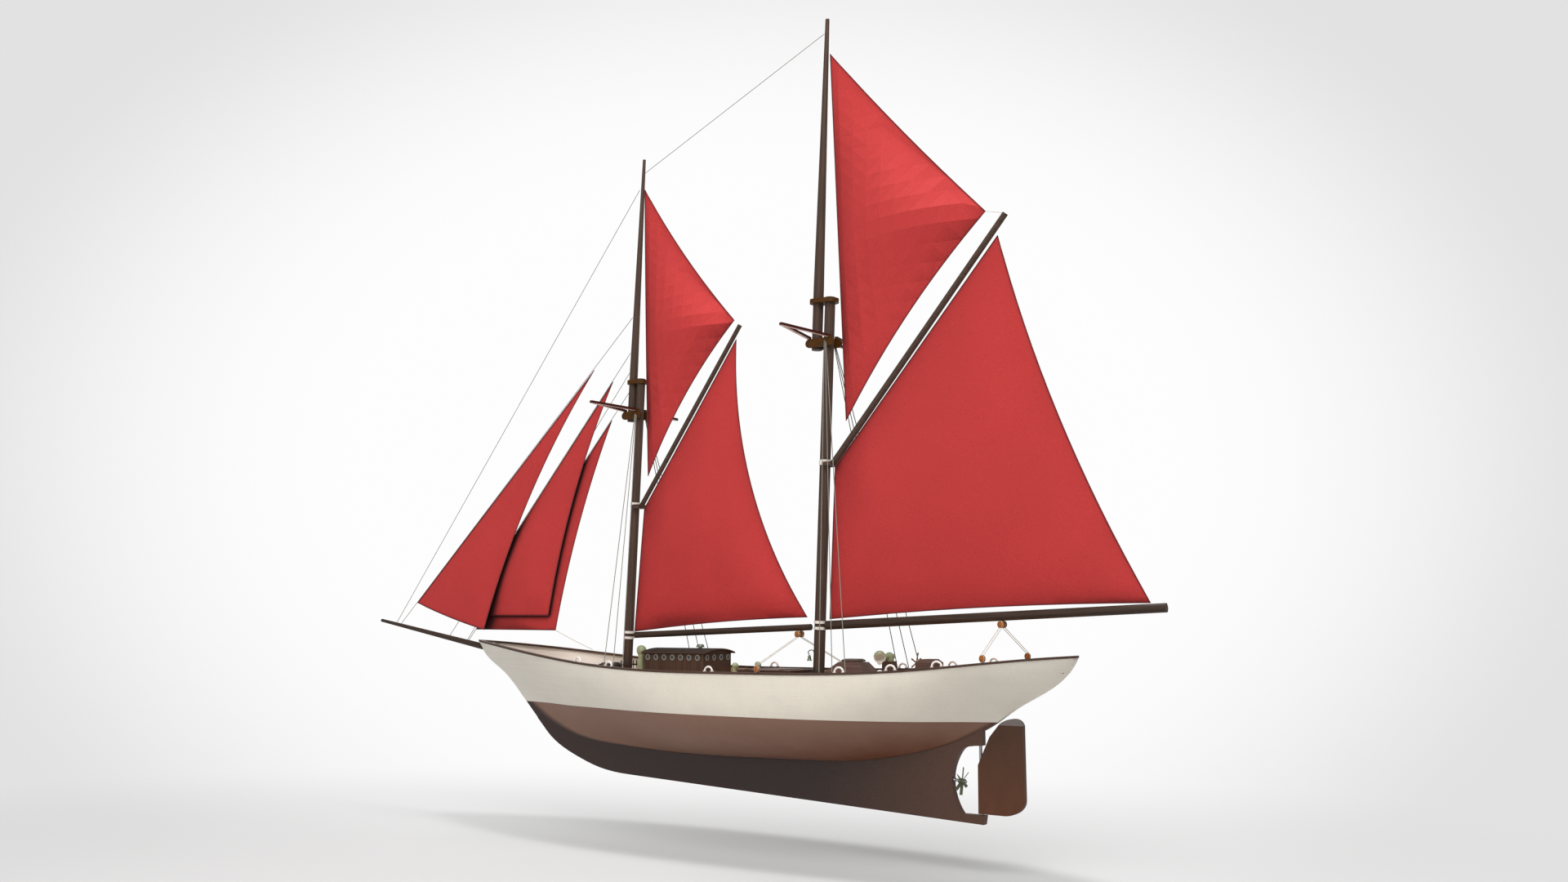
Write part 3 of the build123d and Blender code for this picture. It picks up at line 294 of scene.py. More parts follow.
def rope_material(name, colour, lay=900.0, starboard_shade=None):
    """Laid rope: slanting strands, with fluff; on the ropes to starboard, shade may be painted in as a
    darker colour.
    """
    s = Shader(name, 0.8)
    strands = s.waves(lay, (35, 40, 20), 0.6)
    fluff = s.noise([1500.0] * 3, 2.0)
    tone = s.mix(s.spread(strands, 0.2, 0.8), toned(colour, 0.7), toned(colour, 1.1))
    tone = s.mix(s.spread(fluff, 0.5, 0.75, 0.0, 0.3), tone, toned(colour, 0.6))
    if starboard_shade:
        # painted shade: the rope takes the darker colour to starboard of the centreline
        tone = s.mix(s.spread(s.axis("Y"), -2 * MM, -4 * MM), tone, starboard_shade)
    s.colour(tone)
    s.bump(strands, 0.15 * MM)
    return s.material


def crosstree_material():
    """Golden trestletrees near the mast, red-brown arms outside, pale on their underside."""
    s = Shader("trestle_wood", 0.5)
    streaks = s.noise((30.0, 60.0, 500.0), 4.0)
    golden, arm, pale = srgb(72, 42, 0), srgb(62, 28, 22), srgb(204, 178, 168)
    breadth = s.maths("ABSOLUTE", s.axis("Y"))
    outside = s.spread(breadth, 13.5 * MM, 14.5 * MM)      # 0 on the trestletrees, 1 on the arms
    normal = s.nodes.new("ShaderNodeNewGeometry").outputs["Normal"]
    below = s.maths("LESS_THAN", s.axis("Z", normal), -0.8)
    colour = s.mix(outside, golden, s.mix(below, arm, pale))
    s.colour(s.mix(s.spread(streaks, 0.4, 0.7, 0.0, 0.4), colour, toned(arm, 0.6)))
    s.bump(streaks, 0.1 * MM)
    s.shine(0.15)
    return s.material


def banded_fittings_material():
    """White-painted mast bands; the bell's hook, low on the mainmast, is dark iron."""
    s = Shader("mast_bands", 0.45)
    hook = s.spread(s.axis("Z"), WATERLINE + 100 * MM, WATERLINE + 99 * MM)
    cloud = s.noise([300.0] * 3, 3.0)
    white, iron = srgb(222, 214, 206), srgb(58, 56, 52)
    painted = s.mix(s.spread(cloud, 0.4, 0.7, 0.0, 0.4), white, toned(white, 0.75))
    s.colour(s.mix(hook, painted, iron))
    s.bump(cloud, 0.08 * MM)
    return s.material


def vent_material():
    """Sage-green paint; the aft cowl is white inside and on its lower half."""
    s = Shader("vent_paint", 0.5)
    cowl = at(-268, 24, 84.6)                  # centre of the aft cowl's head
    inside = s.maths("LESS_THAN", s.distance(s.place, cowl), 8.2 * MM)
    aft_cowl = s.maths("LESS_THAN", s.axis("X"), AMIDSHIPS - 240 * MM)
    lower = s.maths("LESS_THAN", s.axis("Z"), cowl.z)
    whitened = s.maths("MAXIMUM", inside, s.maths("MULTIPLY", aft_cowl, lower))
    cloud = s.noise([160.0] * 3, 3.0)
    green, white = srgb(142, 146, 112), srgb(228, 224, 216)
    tone = s.mix(s.spread(cloud, 0.35, 0.7), toned(green, 0.85), toned(green, 1.12))
    s.colour(s.mix(whitened, tone, white))
    s.bump(s.noise([900.0] * 3), 0.05 * MM)
    return s.material


def rudder_material():
    """Dark brown bottom paint with a grey band where the blade clears the water."""
    s = Shader("rudder_paint", 0.55)
    grain = s.noise((60.0, 500.0, 25.0), 4.0)
    speck = s.noise([1100.0] * 3, 2.0)
    brown, red, grey = srgb(72, 46, 32), srgb(88, 52, 34), srgb(110, 102, 99)
    # the bottom paint turns redder towards the foot of the blade
    towards_foot = s.spread(s.axis("Z"), WATERLINE - 20 * MM, WATERLINE - 110 * MM)
    colour = s.mix(towards_foot, brown, red)
    colour = s.mix(s.spread(grain, 0.4, 0.7, 0.0, 0.3), colour, toned(brown, 0.7))
    colour = s.mix(s.maths("GREATER_THAN", s.axis("Z"), WATERLINE - 3.5 * MM), colour, grey)
    s.colour(s.mix(s.spread(speck, 0.5, 0.75, 0.0, 0.3), colour, toned(brown, 0.5)))
    s.bump(s.maths("ADD", grain, speck), 0.08 * MM)
    s.shine(0.2)
    return s.material


def sleeve_material():
    """Shrink sleeve of the cells, with generic colour bands."""
    s = Shader("battery_sleeve", 0.35)
    bands = s.waves(55.0)
    s.colour(s.mix(s.spread(bands, 0.45, 0.55), srgb(40, 70, 130), srgb(60, 105, 170)))
    s.bump(s.noise([500.0] * 3), 0.05 * MM)
    return s.material


def plywood_material():
    s = Shader("plywood", 0.65)
    grain = s.noise((20.0, 260.0, 700.0), 5.0)
    light, dark = srgb(214, 184, 140), srgb(176, 140, 98)
    s.colour(s.mix(s.spread(grain, 0.35, 0.65), light, dark))
    s.bump(grain, 0.1 * MM)
    return s.material


def glass_material():
    """Dark porthole glass: smoky, glossy, with a slight unevenness."""
    s = Shader("window_glass", 0.08)
    ripple = s.noise([250.0] * 3, 2.0)
    s.colour(s.mix(ripple, srgb(42, 44, 44), srgb(70, 72, 70)))
    s.bump(ripple, 0.02 * MM)
    s.surface.inputs["Coat Weight"].default_value = 0.6
    return s.material


SPAR_BROWN = srgb(70, 54, 45)
MATERIALS = {
    "hull": hull_material(),
    "deck": deck_material(),
    "spar_upright": wood("spar_upright", SPAR_BROWN, "Z", 0.5),
    "spar_level": wood("spar_level", toned(SPAR_BROWN, 0.68), "X", 0.5),
    "spar_raked": wood("spar_raked", SPAR_BROWN, "X", 0.5, (0, 50, 0)),
    "rail_wood": wood("rail_wood", srgb(72, 54, 44), "X", 0.45),
    "golden_wood": wood("golden_wood", srgb(70, 40, 4), "X", 0.5),
    "house_wood": wood("house_wood", srgb(77, 56, 45), "Z", 0.5),
    "batten_wood": wood("batten_wood", srgb(52, 38, 33), "Z", 0.5),
    "box_wood": wood("box_wood", srgb(84, 63, 56), "X", 0.5),
    "block_wood": wood("block_wood", srgb(150, 86, 34), "Z", 0.45),
    "wheel_wood": wood("wheel_wood", srgb(116, 80, 40), "Z", 0.4),
    "trim_wood": wood("trim_wood", srgb(120, 82, 52), "X", 0.5),
    "crosstrees": crosstree_material(),
    "bands": banded_fittings_material(),
    "sail": sail_material(),
    "bolt_rope": rope_material("bolt_rope", srgb(112, 44, 44)),
    "rope": rope_material("rigging_line", srgb(196, 190, 172)),
    # the stays and shrouds to starboard carry painted shade
    "stay_rope": rope_material("stay_rope", srgb(132, 128, 118), starboard_shade=srgb(66, 62, 56)),
    "roof": paint("roof_canvas", srgb(44, 34, 27), 0.8, mottle=0.12, bumps=0.12, shine=0.15),
    "rims": paint("rim_metal", srgb(132, 132, 128), 0.4, metallic=0.3),
    "glass": glass_material(),
    "vents": vent_material(),
    "green": paint("green_paint", srgb(134, 138, 106), 0.5),
    "bell": paint("bell_metal", srgb(112, 118, 100), 0.35, metallic=0.6),
    "iron": paint("dark_iron", srgb(54, 50, 47), 0.5, metallic=0.4),
    "brass": paint("brass", srgb(168, 136, 78), 0.35, metallic=0.8),
    "white": paint("white_fittings", srgb(224, 215, 209), 0.45, mottle=0.06),
    "caulk": paint("deck_caulk", srgb(64, 50, 40), 0.8),
    "rudder": rudder_material(),
    "propeller": paint("propeller_metal", srgb(98, 104, 84), 0.4, metallic=0.5),
    "steel": paint("shaft_steel", srgb(150, 150, 150), 0.3, metallic=0.9),
    "lead": paint("lead", srgb(98, 98, 102), 0.6, metallic=0.4, mottle=0.2, bumps=0.3),
    "black": paint("black_plastic", srgb(32, 32, 34), 0.45),
    "white_plastic": paint("white_plastic", srgb(220, 220, 216), 0.4),
    "motor": paint("motor_can", srgb(150, 152, 156), 0.3, metallic=0.9),
    "sleeve": sleeve_material(),
    "plywood": plywood_material(),
}

# CAD nodes by the finish that they wear.
NODE_FINISH = {
    "hull": ["hull_shell"],
    "deck": ["deck"],
    "rail_wood": ["cap_rail"],
    "spar_upright": ["fore_lower_mast", "fore_topmast", "main_lower_mast", "main_topmast"],
    "spar_level": ["bowsprit", "fore_boom", "main_boom"],
    "spar_raked": ["fore_gaff", "main_gaff"],
    "golden_wood": ["mast_caps"],
    "crosstrees": ["crosstrees"],
    "bands": ["mast_fittings"],
    "stay_rope": ["headstays", "shrouds"],
    "house_wood": ["deckhouse_walls", "binnacle_stand"],
    "box_wood": ["skylight", "skylight_lid", "wheel_box"],
    "roof": ["deckhouse_roof"],
    "rims": ["porthole_rims"],
    "glass": ["porthole_glass"],
    "vents": ["cowl_vents"],
    "green": ["binnacle_dome"],
    "wheel_wood": ["steering_wheel"],
    "white": ["fairleads"],
    "bell": ["ship_bell", "roof_vent"],
    "iron": ["windlass_frame", "windlass_barrel"],
    "rudder": ["rudder_blade"],
    "propeller": ["propeller"],
    "steel": ["prop_shaft", "rudder_stock", "stern_tube", "pushrod"],
    "lead": ["keel_ballast"],
    "black": ["rudder_servo", "sail_winch"],
    "white_plastic": ["servo_horn", "receiver", "winch_drum"],
    "motor": ["motor"],
    "sleeve": ["battery_pack"],
    "plywood": ["radio_tray"],
}


def finish_nodes():
    for finish, names in NODE_FINISH.items():
        for name in names:
            for slot in NODES[name].material_slots:
                slot.material = MATERIALS[finish]


# ---- mesh helpers -------------------------------------------------------------------------
def mesh_of(bm, name):
    """Mesh from a finished bmesh, which is freed."""
    bmesh.ops.recalc_face_normals(bm, faces=bm.faces)
    mesh = bpy.data.meshes.new(name)
    bm.to_mesh(mesh)
    bm.free()
    return mesh


def piece(name, bm, finish, body, smooth=True):
    """Object from a bmesh that rides on a body and takes its look from a shared finish."""
    mesh = mesh_of(bm, name)
    obj = bpy.data.objects.new(name, mesh)
    bpy.context.scene.collection.objects.link(obj)
    mesh.materials.append(MATERIALS[finish])
    mesh.polygons.foreach_set("use_smooth", [smooth] * len(mesh.polygons))
    if smooth:
        mesh.set_sharp_from_angle(angle=math.radians(40))
    if body:
        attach(obj, body)
    return obj


def across(direction):
    """Unit vector square to a direction."""
    helper = Vector((0, 0, 1)) if abs(direction.z) < 0.9 else Vector((1, 0, 0))
    return direction.cross(helper).normalized()


def circle(count):
    """Points evenly round a circle of radius 1."""
    angles = [2 * math.pi * k / count for k in range(count)]
    return [(math.cos(a), math.sin(a)) for a in angles]


def add_rings(bm, rings, closed=False):
    """Skin between rings of points, capped at its ends unless it closes on itself."""
    made = [[bm.verts.new(p) for p in ring] for ring in rings]
    pairs = list(zip(made, made[1:]))
    if closed:
        pairs.append((made[-1], made[0]))
    for first, second in pairs:
        count = len(first)
        for i in range(count):
            j = (i + 1) % count
            bm.faces.new((first[i], first[j], second[j], second[i]))
    if not closed:
        bm.faces.new(list(reversed(made[0])))
        bm.faces.new(made[-1])


def add_tube(bm, points, radius, sides, closed=False):
    """Round tube along points; its ring's first corner turns as little as the line allows."""
    rings = []
    count = len(points)
    side = None
    for i, point in enumerate(points):
        before = points[(i - 1) % count] if closed or i else point
        after = points[(i + 1) % count] if closed or i < count - 1 else point
        along = (after - before).normalized()
        if side is None:
            side = across(along)
        side = (side - along * side.dot(along)).normalized()
        up = along.cross(side)
        rings.append([point + (side * c + up * d) * radius for c, d in circle(sides)])
    add_rings(bm, rings, closed)


def add_strip(bm, points, half_width, half_height):
    """Flat strip along points, level across and upright at its sides."""
    rings = []
    tall = Vector((0, 0, half_height))
    for i, point in enumerate(points):
        along = points[min(i + 1, len(points) - 1)] - points[max(i - 1, 0)]
        level = Vector((along.x, along.y, 0)).normalized()
        wide = Vector((-level.y, level.x, 0)) * half_width
        rings.append([point + wide + tall, point - wide + tall, point - wide - tall, point + wide - tall])
    add_rings(bm, rings)


def add_turned(bm, base, axis, profile, sides):
    """Solid of revolution: profile lists (distance along the axis, radius), from the base."""
    axis = axis.normalized()
    side = across(axis)
    up = axis.cross(side)
    rings = []
    for along, r in profile:
        centre = base + axis * along
        rings.append([centre + (side * c + up * d) * r for c, d in circle(sides)])
    add_rings(bm, rings)


def add_box(bm, low, high, bevel=0.0):
    """Box between two corners, with its edges eased by the bevel."""
    made = bmesh.ops.create_cube(bm, size=1.0)["verts"]
    size = high - low
    middle = (high + low) / 2
    for vertex in made:
        vertex.co = Vector([vertex.co[i] * size[i] + middle[i] for i in range(3)])
    if bevel:
        edges = {e for v in made for e in v.link_edges}
        bmesh.ops.bevel(bm, geom=list(edges), offset=bevel, segments=2, affect="EDGES")


def sagged(start, end, sag):
    """Points of a rope between two ends, hanging by sag at its middle."""
    points = []
    for i in range(ROPE_STEPS + 1):
        t = i / ROPE_STEPS
        points.append(start.lerp(end, t) - Vector((0, 0, 4 * sag * t * (1 - t))))
    return points


def rope(name, lines, radius, body=None):
    """One piece made of several ropes, each given by its points."""
    bm = bmesh.new()
    for points in lines:
        add_tube(bm, points, radius, 10)
    return piece(name, bm, "rope", body)


# ---- sails --------------------------------------------------------------------------------
# (body, directions in X and Z in which the tack and the head lie furthest, belly as a share of
# the chord, cell size in mm, whether the cloths show as flat panels)
SAILS = {
    "foresail": ("fore_sail_set", (1, -1), (1, 0.5), 0.06, 12, False),
    "mainsail": ("main_sail_set", (1, -1), (1, 0.5), 0.04, 14, False),
    "fore_topsail": ("fore_sail_set", (0, -1), (0, 1), 0.13, 20, True),
    "main_topsail": ("main_sail_set", (0, -1), (0, 1), 0.13, 25, True),
    "flying_jib": ("flying_jib", (1, 0), (0, 1), 0.03, 12, False),
    "jib": ("jib", (1, 0), (0, 1), 0.04, 12, False),
    "fore_staysail": ("fore_staysail", (1, 0), (0, 1), 0.01, 12, False),
}
CLOTH = 0.5 * MM               # thickness of the sailcloth


def furthest(points, direction):
    """The point that lies furthest in an X-Z direction."""
    aim = Vector((direction[0], 0, direction[1]))
    return max(points, key=lambda p: p.dot(aim))


def sail_outline(node):
    """Points round the middle plane of a flat CAD sail, and the direction square to it, to port."""
    bm = bmesh.new()
    bm.from_mesh(NODES[node].data)
    bmesh.ops.remove_doubles(bm, verts=bm.verts, dist=0.001 * MM)
    port = max(bm.faces, key=lambda f: f.calc_area()).normal.copy()
    if port.y < 0:
        port = -port
    beyond = {}
    for edge in bm.edges:
        if sum(face.normal.dot(port) > 0.9 for face in edge.link_faces) == 1:
            first, second = edge.verts
            beyond.setdefault(first, []).append(second)
            beyond.setdefault(second, []).append(first)
    heights = [v.co.dot(port) for v in bm.verts]
    inward = port * (max(heights) - min(heights)) / 2
    start = next(iter(beyond))
    points, before, here = [], None, start
    while before is None or here is not start:
        points.append(here.co - inward)
        ahead = [v for v in beyond[here] if v is not before][0]
        before, here = here, ahead
    bm.free()
    return points, port


def chord(outline, axis, place):
    """Ends, along an axis, of the outline's chord through a place on the flat sail."""
    other = 1 - axis
    crossings = []
    for a, b in zip(outline, outline[1:] + outline[:1]):
        if (a[other] - place[other]) * (b[other] - place[other]) < 0:
            share = (place[other] - a[other]) / (b[other] - a[other])
            crossings.append(a[axis] + share * (b[axis] - a[axis]))
    below = [c for c in crossings if c <= place[axis]]
    above = [c for c in crossings if c >= place[axis]]
    if not below or not above:
        return None
    return max(below), min(above)


def belly_at(outline, place, share):
    """How far the cloth stands off the flat: nothing at the edges, most in the middle."""
    chords = [chord(outline, axis, place) for axis in (0, 1)]
    if any(ends is None or ends[1] - ends[0] < 0.1 * MM for ends in chords):
        return 0.0
    depth = share * (chords[0][1] - chords[0][0])
    for here, (low, high) in zip(place, chords):
        t = (here - low) / (high - low)
        depth *= 4 * t * (1 - t)
    return depth


def cut_cells(bm, size, reach):
    """Cuts a flat sheet in the X-Y plane into cells of one size."""
    steps = int(reach / size) + 1
    for normal in (Vector((1, 0, 0)), Vector((0, 1, 0))):
        for i in range(-steps, steps + 1):
            geometry = bm.verts[:] + bm.edges[:] + bm.faces[:]
            bmesh.ops.bisect_plane(bm, geom=geometry, plane_co=normal * size * (i + 0.5),
                                   plane_no=normal, dist=0.01 * MM)


def make_sail(node):
    """Bellied sail in place of the flat CAD one, with its bolt rope; returns its outline."""
    body, tack_side, head_side, share, cell, panelled = SAILS[node]
    outline, port = sail_outline(node)
    tack, head = furthest(outline, tack_side), furthest(outline, head_side)
    up = (head - tack).normalized()
    aft = up.cross(port).normalized()
    flat = [((p - tack).dot(aft), (p - tack).dot(up)) for p in outline]
    bm = bmesh.new()
    bm.faces.new([bm.verts.new((x, y, 0)) for x, y in flat])
    cut_cells(bm, cell * MM, max(abs(c) for p in flat for c in p))
    for vertex in bm.verts:
        x, y = vertex.co.x, vertex.co.y
        vertex.co = tack + aft * x + up * y + port * (belly_at(flat, (x, y), share) - CLOTH / 2)
    bm.normal_update()
    if sum(face.normal.dot(port) for face in bm.faces) > 0:
        bmesh.ops.reverse_faces(bm, faces=bm.faces[:])
    bmesh.ops.solidify(bm, geom=bm.faces[:], thickness=-CLOTH)
    cloth = piece(node + "_cloth", bm, "sail", body, not panelled)
    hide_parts(node)
    edge = bmesh.new()
    add_tube(edge, outline, 0.6 * MM, 6, closed=True)
    piece(node + "_bolt_rope", edge, "bolt_rope", body)
    return outline


# ---- running ropes and blocks -------------------------------------------------------------
def parts_of(node):
    """Boxes of the separate solids of a CAD node, as (low, high) corners."""
    bm = bmesh.new()
    bm.from_mesh(NODES[node].data)
    bmesh.ops.remove_doubles(bm, verts=bm.verts, dist=0.001 * MM)
    bm.verts.ensure_lookup_table()
    seen = set()
    boxes = []
    for start in bm.verts:
        if start in seen:
            continue
        stack, found = [start], []
        seen.add(start)
        while stack:
            vertex = stack.pop()
            found.append(vertex.co.copy())
            for link in vertex.link_edges:
                other = link.other_vert(vertex)
                if other not in seen:
                    seen.add(other)
                    stack.append(other)
        low = Vector([min(p[i] for p in found) for i in range(3)])
        high = Vector([max(p[i] for p in found) for i in range(3)])
        boxes.append((low, high))
    bm.free()
    return boxes


# Section of a block's cheek: distance from the middle and breadth, as shares of the half sizes.
CHEEK = ((0.35, 0.86), (0.55, 1.0), (0.8, 1.0), (1.0, 0.8))


def add_block(bm, centre, size):
    """Wooden shell of a pulley block: two oval cheeks, joined by a crown and a tail."""
    for side in (-1, 1):
        rings = []
        for offset, share in CHEEK:
            rings.append([centre + Vector((size.x * share * c, side * size.y * offset, size.z * share * d))
                          for c, d in circle(24)])
        add_rings(bm, rings)
    for end in (-1, 1):
        tip = centre + Vector((0, 0, end * size.z * 0.78))
        half = Vector((size.x * 0.35, size.y * 0.6, size.z * 0.16))
        add_box(bm, tip - half, tip + half, 0.2 * MM)


def pulley_blocks(node, body):
    """Blocks in place of a CAD node's, with a brass sheave and a rope strop round each."""
    shells, sheaves, strops = bmesh.new(), bmesh.new(), bmesh.new()
    for low, high in parts_of(node):
        centre, size = (low + high) / 2, (high - low) / 2
        add_block(shells, centre, size)
        pin, pin_r = size.y * 1.04, 0.5 * MM
        rim, groove = size.x * 0.8, size.x * 0.6
        add_turned(sheaves, centre - Vector((0, pin, 0)), Vector((0, 1, 0)),
                   [(0, pin_r), (size.y * 0.7, pin_r), (size.y * 0.72, rim), (pin, groove),
                    (size.y * 1.36, rim), (size.y * 1.38, pin_r), (2 * pin, pin_r)], 20)
        for side in (-0.75, 0.75):
            loop = [centre + Vector((size.x * 1.02 * c, side * size.y, size.z * 1.02 * d))
                    for c, d in circle(28)]
            add_tube(strops, loop, 0.3 * MM, 6, closed=True)
    shell = piece(node + "_shells", shells, "block_wood", body)
    piece(node + "_sheaves", sheaves, "brass", body)
    piece(node + "_strops", strops, "rope", body)
    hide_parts(node)


def sheet(node):
    """Main or fore sheet: two parts of rope a side, from rail blocks to boom blocks."""
    lines = []
    r = 0.5 * MM                               # the CAD rope's radius
    for box_low, box_high in parts_of(node):
        side = 1 if box_high.y + box_low.y > 0 else -1
        outer = max(abs(box_low.y), abs(box_high.y)) - r
        inner = min(abs(box_low.y), abs(box_high.y)) + r
        foot = Vector((box_low.x + r, side * outer, box_low.z + r))
        top = Vector((box_high.x - r, side * inner, box_high.z - r))
        lines.append(sagged(foot, top, 0))
    ropes = rope(node + "_rope", lines, 0.45 * MM)
    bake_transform(ropes)
    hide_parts(node)


def staysail_sheet(clew):
    """Sheet from the staysail's clew to the starboard rail."""
    foot = at(366, -84, 86)
    ropes = rope("staysail_sheet_rope", [sagged(clew, foot, 1.0 * MM)], 0.4 * MM)
    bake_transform(ropes)


def clew_line(clew):
    """Short line that hauls the main topsail's clew out to the gaff's peak."""
    low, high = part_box("main_gaff")
    peak = Vector((low.x + 5 * MM, 0, high.z - 2 * MM))
    rope("topsail_clew_line", [[clew, peak]], 0.4 * MM, "main_sail_set")


# ---- deck -------------------------------------------------------------------------------
def surface_of(node):
    """A CAD node's surface, to cast rays at."""
    mesh = NODES[node].data
    return BVHTree.FromPolygons([v.co for v in mesh.vertices], [p.vertices for p in mesh.polygons])


def deck_stations(step):
    """(x, deck height, half-breadth between the bulwarks) along the deck."""
    deck, hull = surface_of("deck"), surface_of("hull_shell")
    low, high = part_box("deck")
    stations = []
    x = low.x + 2 * MM
    while x < high.x - 2 * MM:
        top = None
        for y in (0.0, 12 * MM, 30 * MM, 60 * MM):     # several, since the deck has openings
            hit = deck.ray_cast(Vector((x, y, 1.0)), Vector((0, 0, -1)))[0]
            if hit:
                top = hit.z if top is None else max(top, hit.z)
        if top is not None:
            wall = hull.ray_cast(Vector((x, 0, top + 1.5 * MM)), Vector((0, 1, 0)))[0]
            if wall:
                stations.append((x, top, wall.y))
        x += step
    return stations


def runs(points):
    """Stretches of two points or more between a list's gaps, which are None."""
    found, current = [], []
    for point in points + [None]:
        if point is None:
            if len(current) > 1:
                found.append(current)
            current = []
        else:
            current.append(point)
    return found


def planking(stations):
    """Caulked seams between the planks, and a covering board inside each bulwark."""
    margin = 9 * MM                            # seams stop this far from a bulwark
    tuck = 4 * MM                              # and run this far in under the deckhouse
    board = 4.0 * MM                           # half-width of a covering board
    aft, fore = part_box("deckhouse_walls")
    seams, boards = bmesh.new(), bmesh.new()
    count = int(HALF_BEAM / PLANK)
    for j in range(-count, count + 1):
        y = j * PLANK
        line = []
        for x, top, wall in stations:
            under_house = aft.x + tuck < x < fore.x - tuck and abs(y) < fore.y - tuck
            clear = abs(y) < wall - margin and not under_house
            line.append(Vector((x, y, top)) if clear else None)
        for run in runs(line):
            add_strip(seams, run, 0.3 * MM, 0.12 * MM)
    for side in (-1, 1):
        line = [Vector((x, side * (wall - board - 0.2 * MM), top + 0.25 * MM))
                for x, top, wall in stations if wall > 3 * board]
        add_strip(boards, line, board, 0.35 * MM)
    piece("deck_seams", seams, "caulk", "root", False)
    piece("covering_boards", boards, "trim_wood", "root", False)


def wall_battens():
    """Upright cover strips on the deckhouse walls, broken at the portholes."""
    low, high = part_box("deckhouse_walls")
    rims = parts_of("porthole_rims")
    bm = bmesh.new()
    pitch = 4.1 * MM                           # least distance between two strips
    foot = low.z + 1 * MM
    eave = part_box("deckhouse_roof")[0].z + 1.2 * MM

    def strips(place, half, blocked):
        """One strip from foot to eave, or two that stop at the porthole in its way."""
        spans = [(foot, eave)]
        for rim_low, rim_high in blocked:
            spans = [(foot, rim_low.z), (rim_high.z, eave)]
        for start, end in spans:
            if end - start > 1 * MM:
                add_box(bm, place - half + Vector((0, 0, start)), place + half + Vector((0, 0, end)))

    along = Vector((0.25 * MM, 0.22 * MM, 0))      # half sizes of a strip on a side wall
    square = Vector((0.22 * MM, 0.25 * MM, 0))     # and on an end wall
    count = int((high.x - low.x) / pitch)
    for side in (-1, 1):
        wall_y = high.y * side
        for i in range(1, count):
            x = low.x + i * (high.x - low.x) / count
            blocked = [r for r in rims if r[0].x < x < r[1].x and r[0].y * side > high.y - 6 * MM]
            strips(Vector((x, wall_y, 0)), along, blocked)
    count = int((high.y - low.y) / pitch)
    for i in range(1, count):
        y = low.y + i * (high.y - low.y) / count
        blocked = [r for r in rims if r[0].y < y < r[1].y and r[1].x < low.x + 2 * MM]
        strips(Vector((low.x, y, 0)), square, blocked)
        strips(Vector((high.x, y, 0)), square, [])
    piece("deckhouse_battens", bm, "batten_wood", "deckhouse", False)


def roof_moulding():
    """Round moulding along the edge of the deckhouse roof."""
    low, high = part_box("deckhouse_roof")
    camber = 6.0 * MM                          # the roof's rise from its eaves to its middle
    half = high.y
    crown = high.z - 1.1 * MM                  # height of the moulding in the middle
    steps = 24
    bm = bmesh.new()
    line = []
    for x, direction in ((low.x, 1), (high.x, -1)):
        for i in range(steps + 1):
            y = direction * half * (2 * i / steps - 1)
            line.append(Vector((x, y, crown - camber * (y / half) ** 2)))
    add_tube(bm, line, 0.9 * MM, 8, closed=True)
    piece("roof_moulding", bm, "rail_wood", "deckhouse")


def lid_frame():
    """Raised frame and dark panes on the skylight's lid."""
    low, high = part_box("skylight_lid")
    bars, panes = bmesh.new(), bmesh.new()
    inset, bar = 2.4 * MM, 1.3 * MM
    sunk, rise, pane_rise = high.z - 0.2 * MM, high.z + 0.9 * MM, high.z + 0.25 * MM
    x0, x1, y0, y1 = low.x + inset, high.x - inset, low.y + inset, high.y - inset
    sides = (x0, y0, x1, y0 + bar), (x0, y1 - bar, x1, y1)
    ends = (x0, y0 + bar, x0 + bar, y1 - bar), (x1 - bar, y0 + bar, x1, y1 - bar)
    middle = (x0 + bar, -bar / 2, x1 - bar, bar / 2)
    for left, near, right, far in (*sides, *ends, middle):
        add_box(bars, Vector((left, near, sunk)), Vector((right, far, rise)), 0.2 * MM)
    add_box(panes, Vector((x0 + bar, y0 + bar, sunk)), Vector((x1 - bar, y1 - bar, pane_rise)))
    piece("lid_frame", bars, "rims", "skylight_lid", False)
    piece("lid_panes", panes, "glass", "skylight_lid", False)


def waist_hatch():
    """Low planked hatch between the deckhouse and the mainmast: coaming, boards and two bars."""
    aft, fore, half = -130, -33, 44            # ends and half-breadth, in mm of the lines plan
    foot, top = 41, 64.5                       # about the deck's height, and the top of the bars
    rim, seam, count = 2, 0.2, 8               # boards past the coaming, half a gap, their number
    coaming, boards = bmesh.new(), bmesh.new()
    add_box(coaming, at(aft + rim, -half + rim, foot), at(fore - rim, half - rim, top - 3), 0.5 * MM)
    width = 2 * half / count
    for i in range(count):
        y = -half + i * width
        add_box(boards, at(aft, y + seam, top - 3), at(fore, y + width - seam, top - 0.8), 0.3 * MM)
    for x in (aft + 18, fore - 18):
        add_box(boards, at(x - 2, -half + 1, top - 1), at(x + 2, half - 1, top), 0.3 * MM)
    piece("hatch_coaming", coaming, "box_wood", "root", False)
    piece("hatch_boards", boards, "box_wood", "root", False)


# Turned shape of a belaying pin: distance up from its foot and radius, in mm.
BELAYING_PIN = ((0, 0.5), (6, 0.6), (7.2, 1.1), (8, 0.8), (11, 1.2), (12.5, 0.9), (13, 0.3))


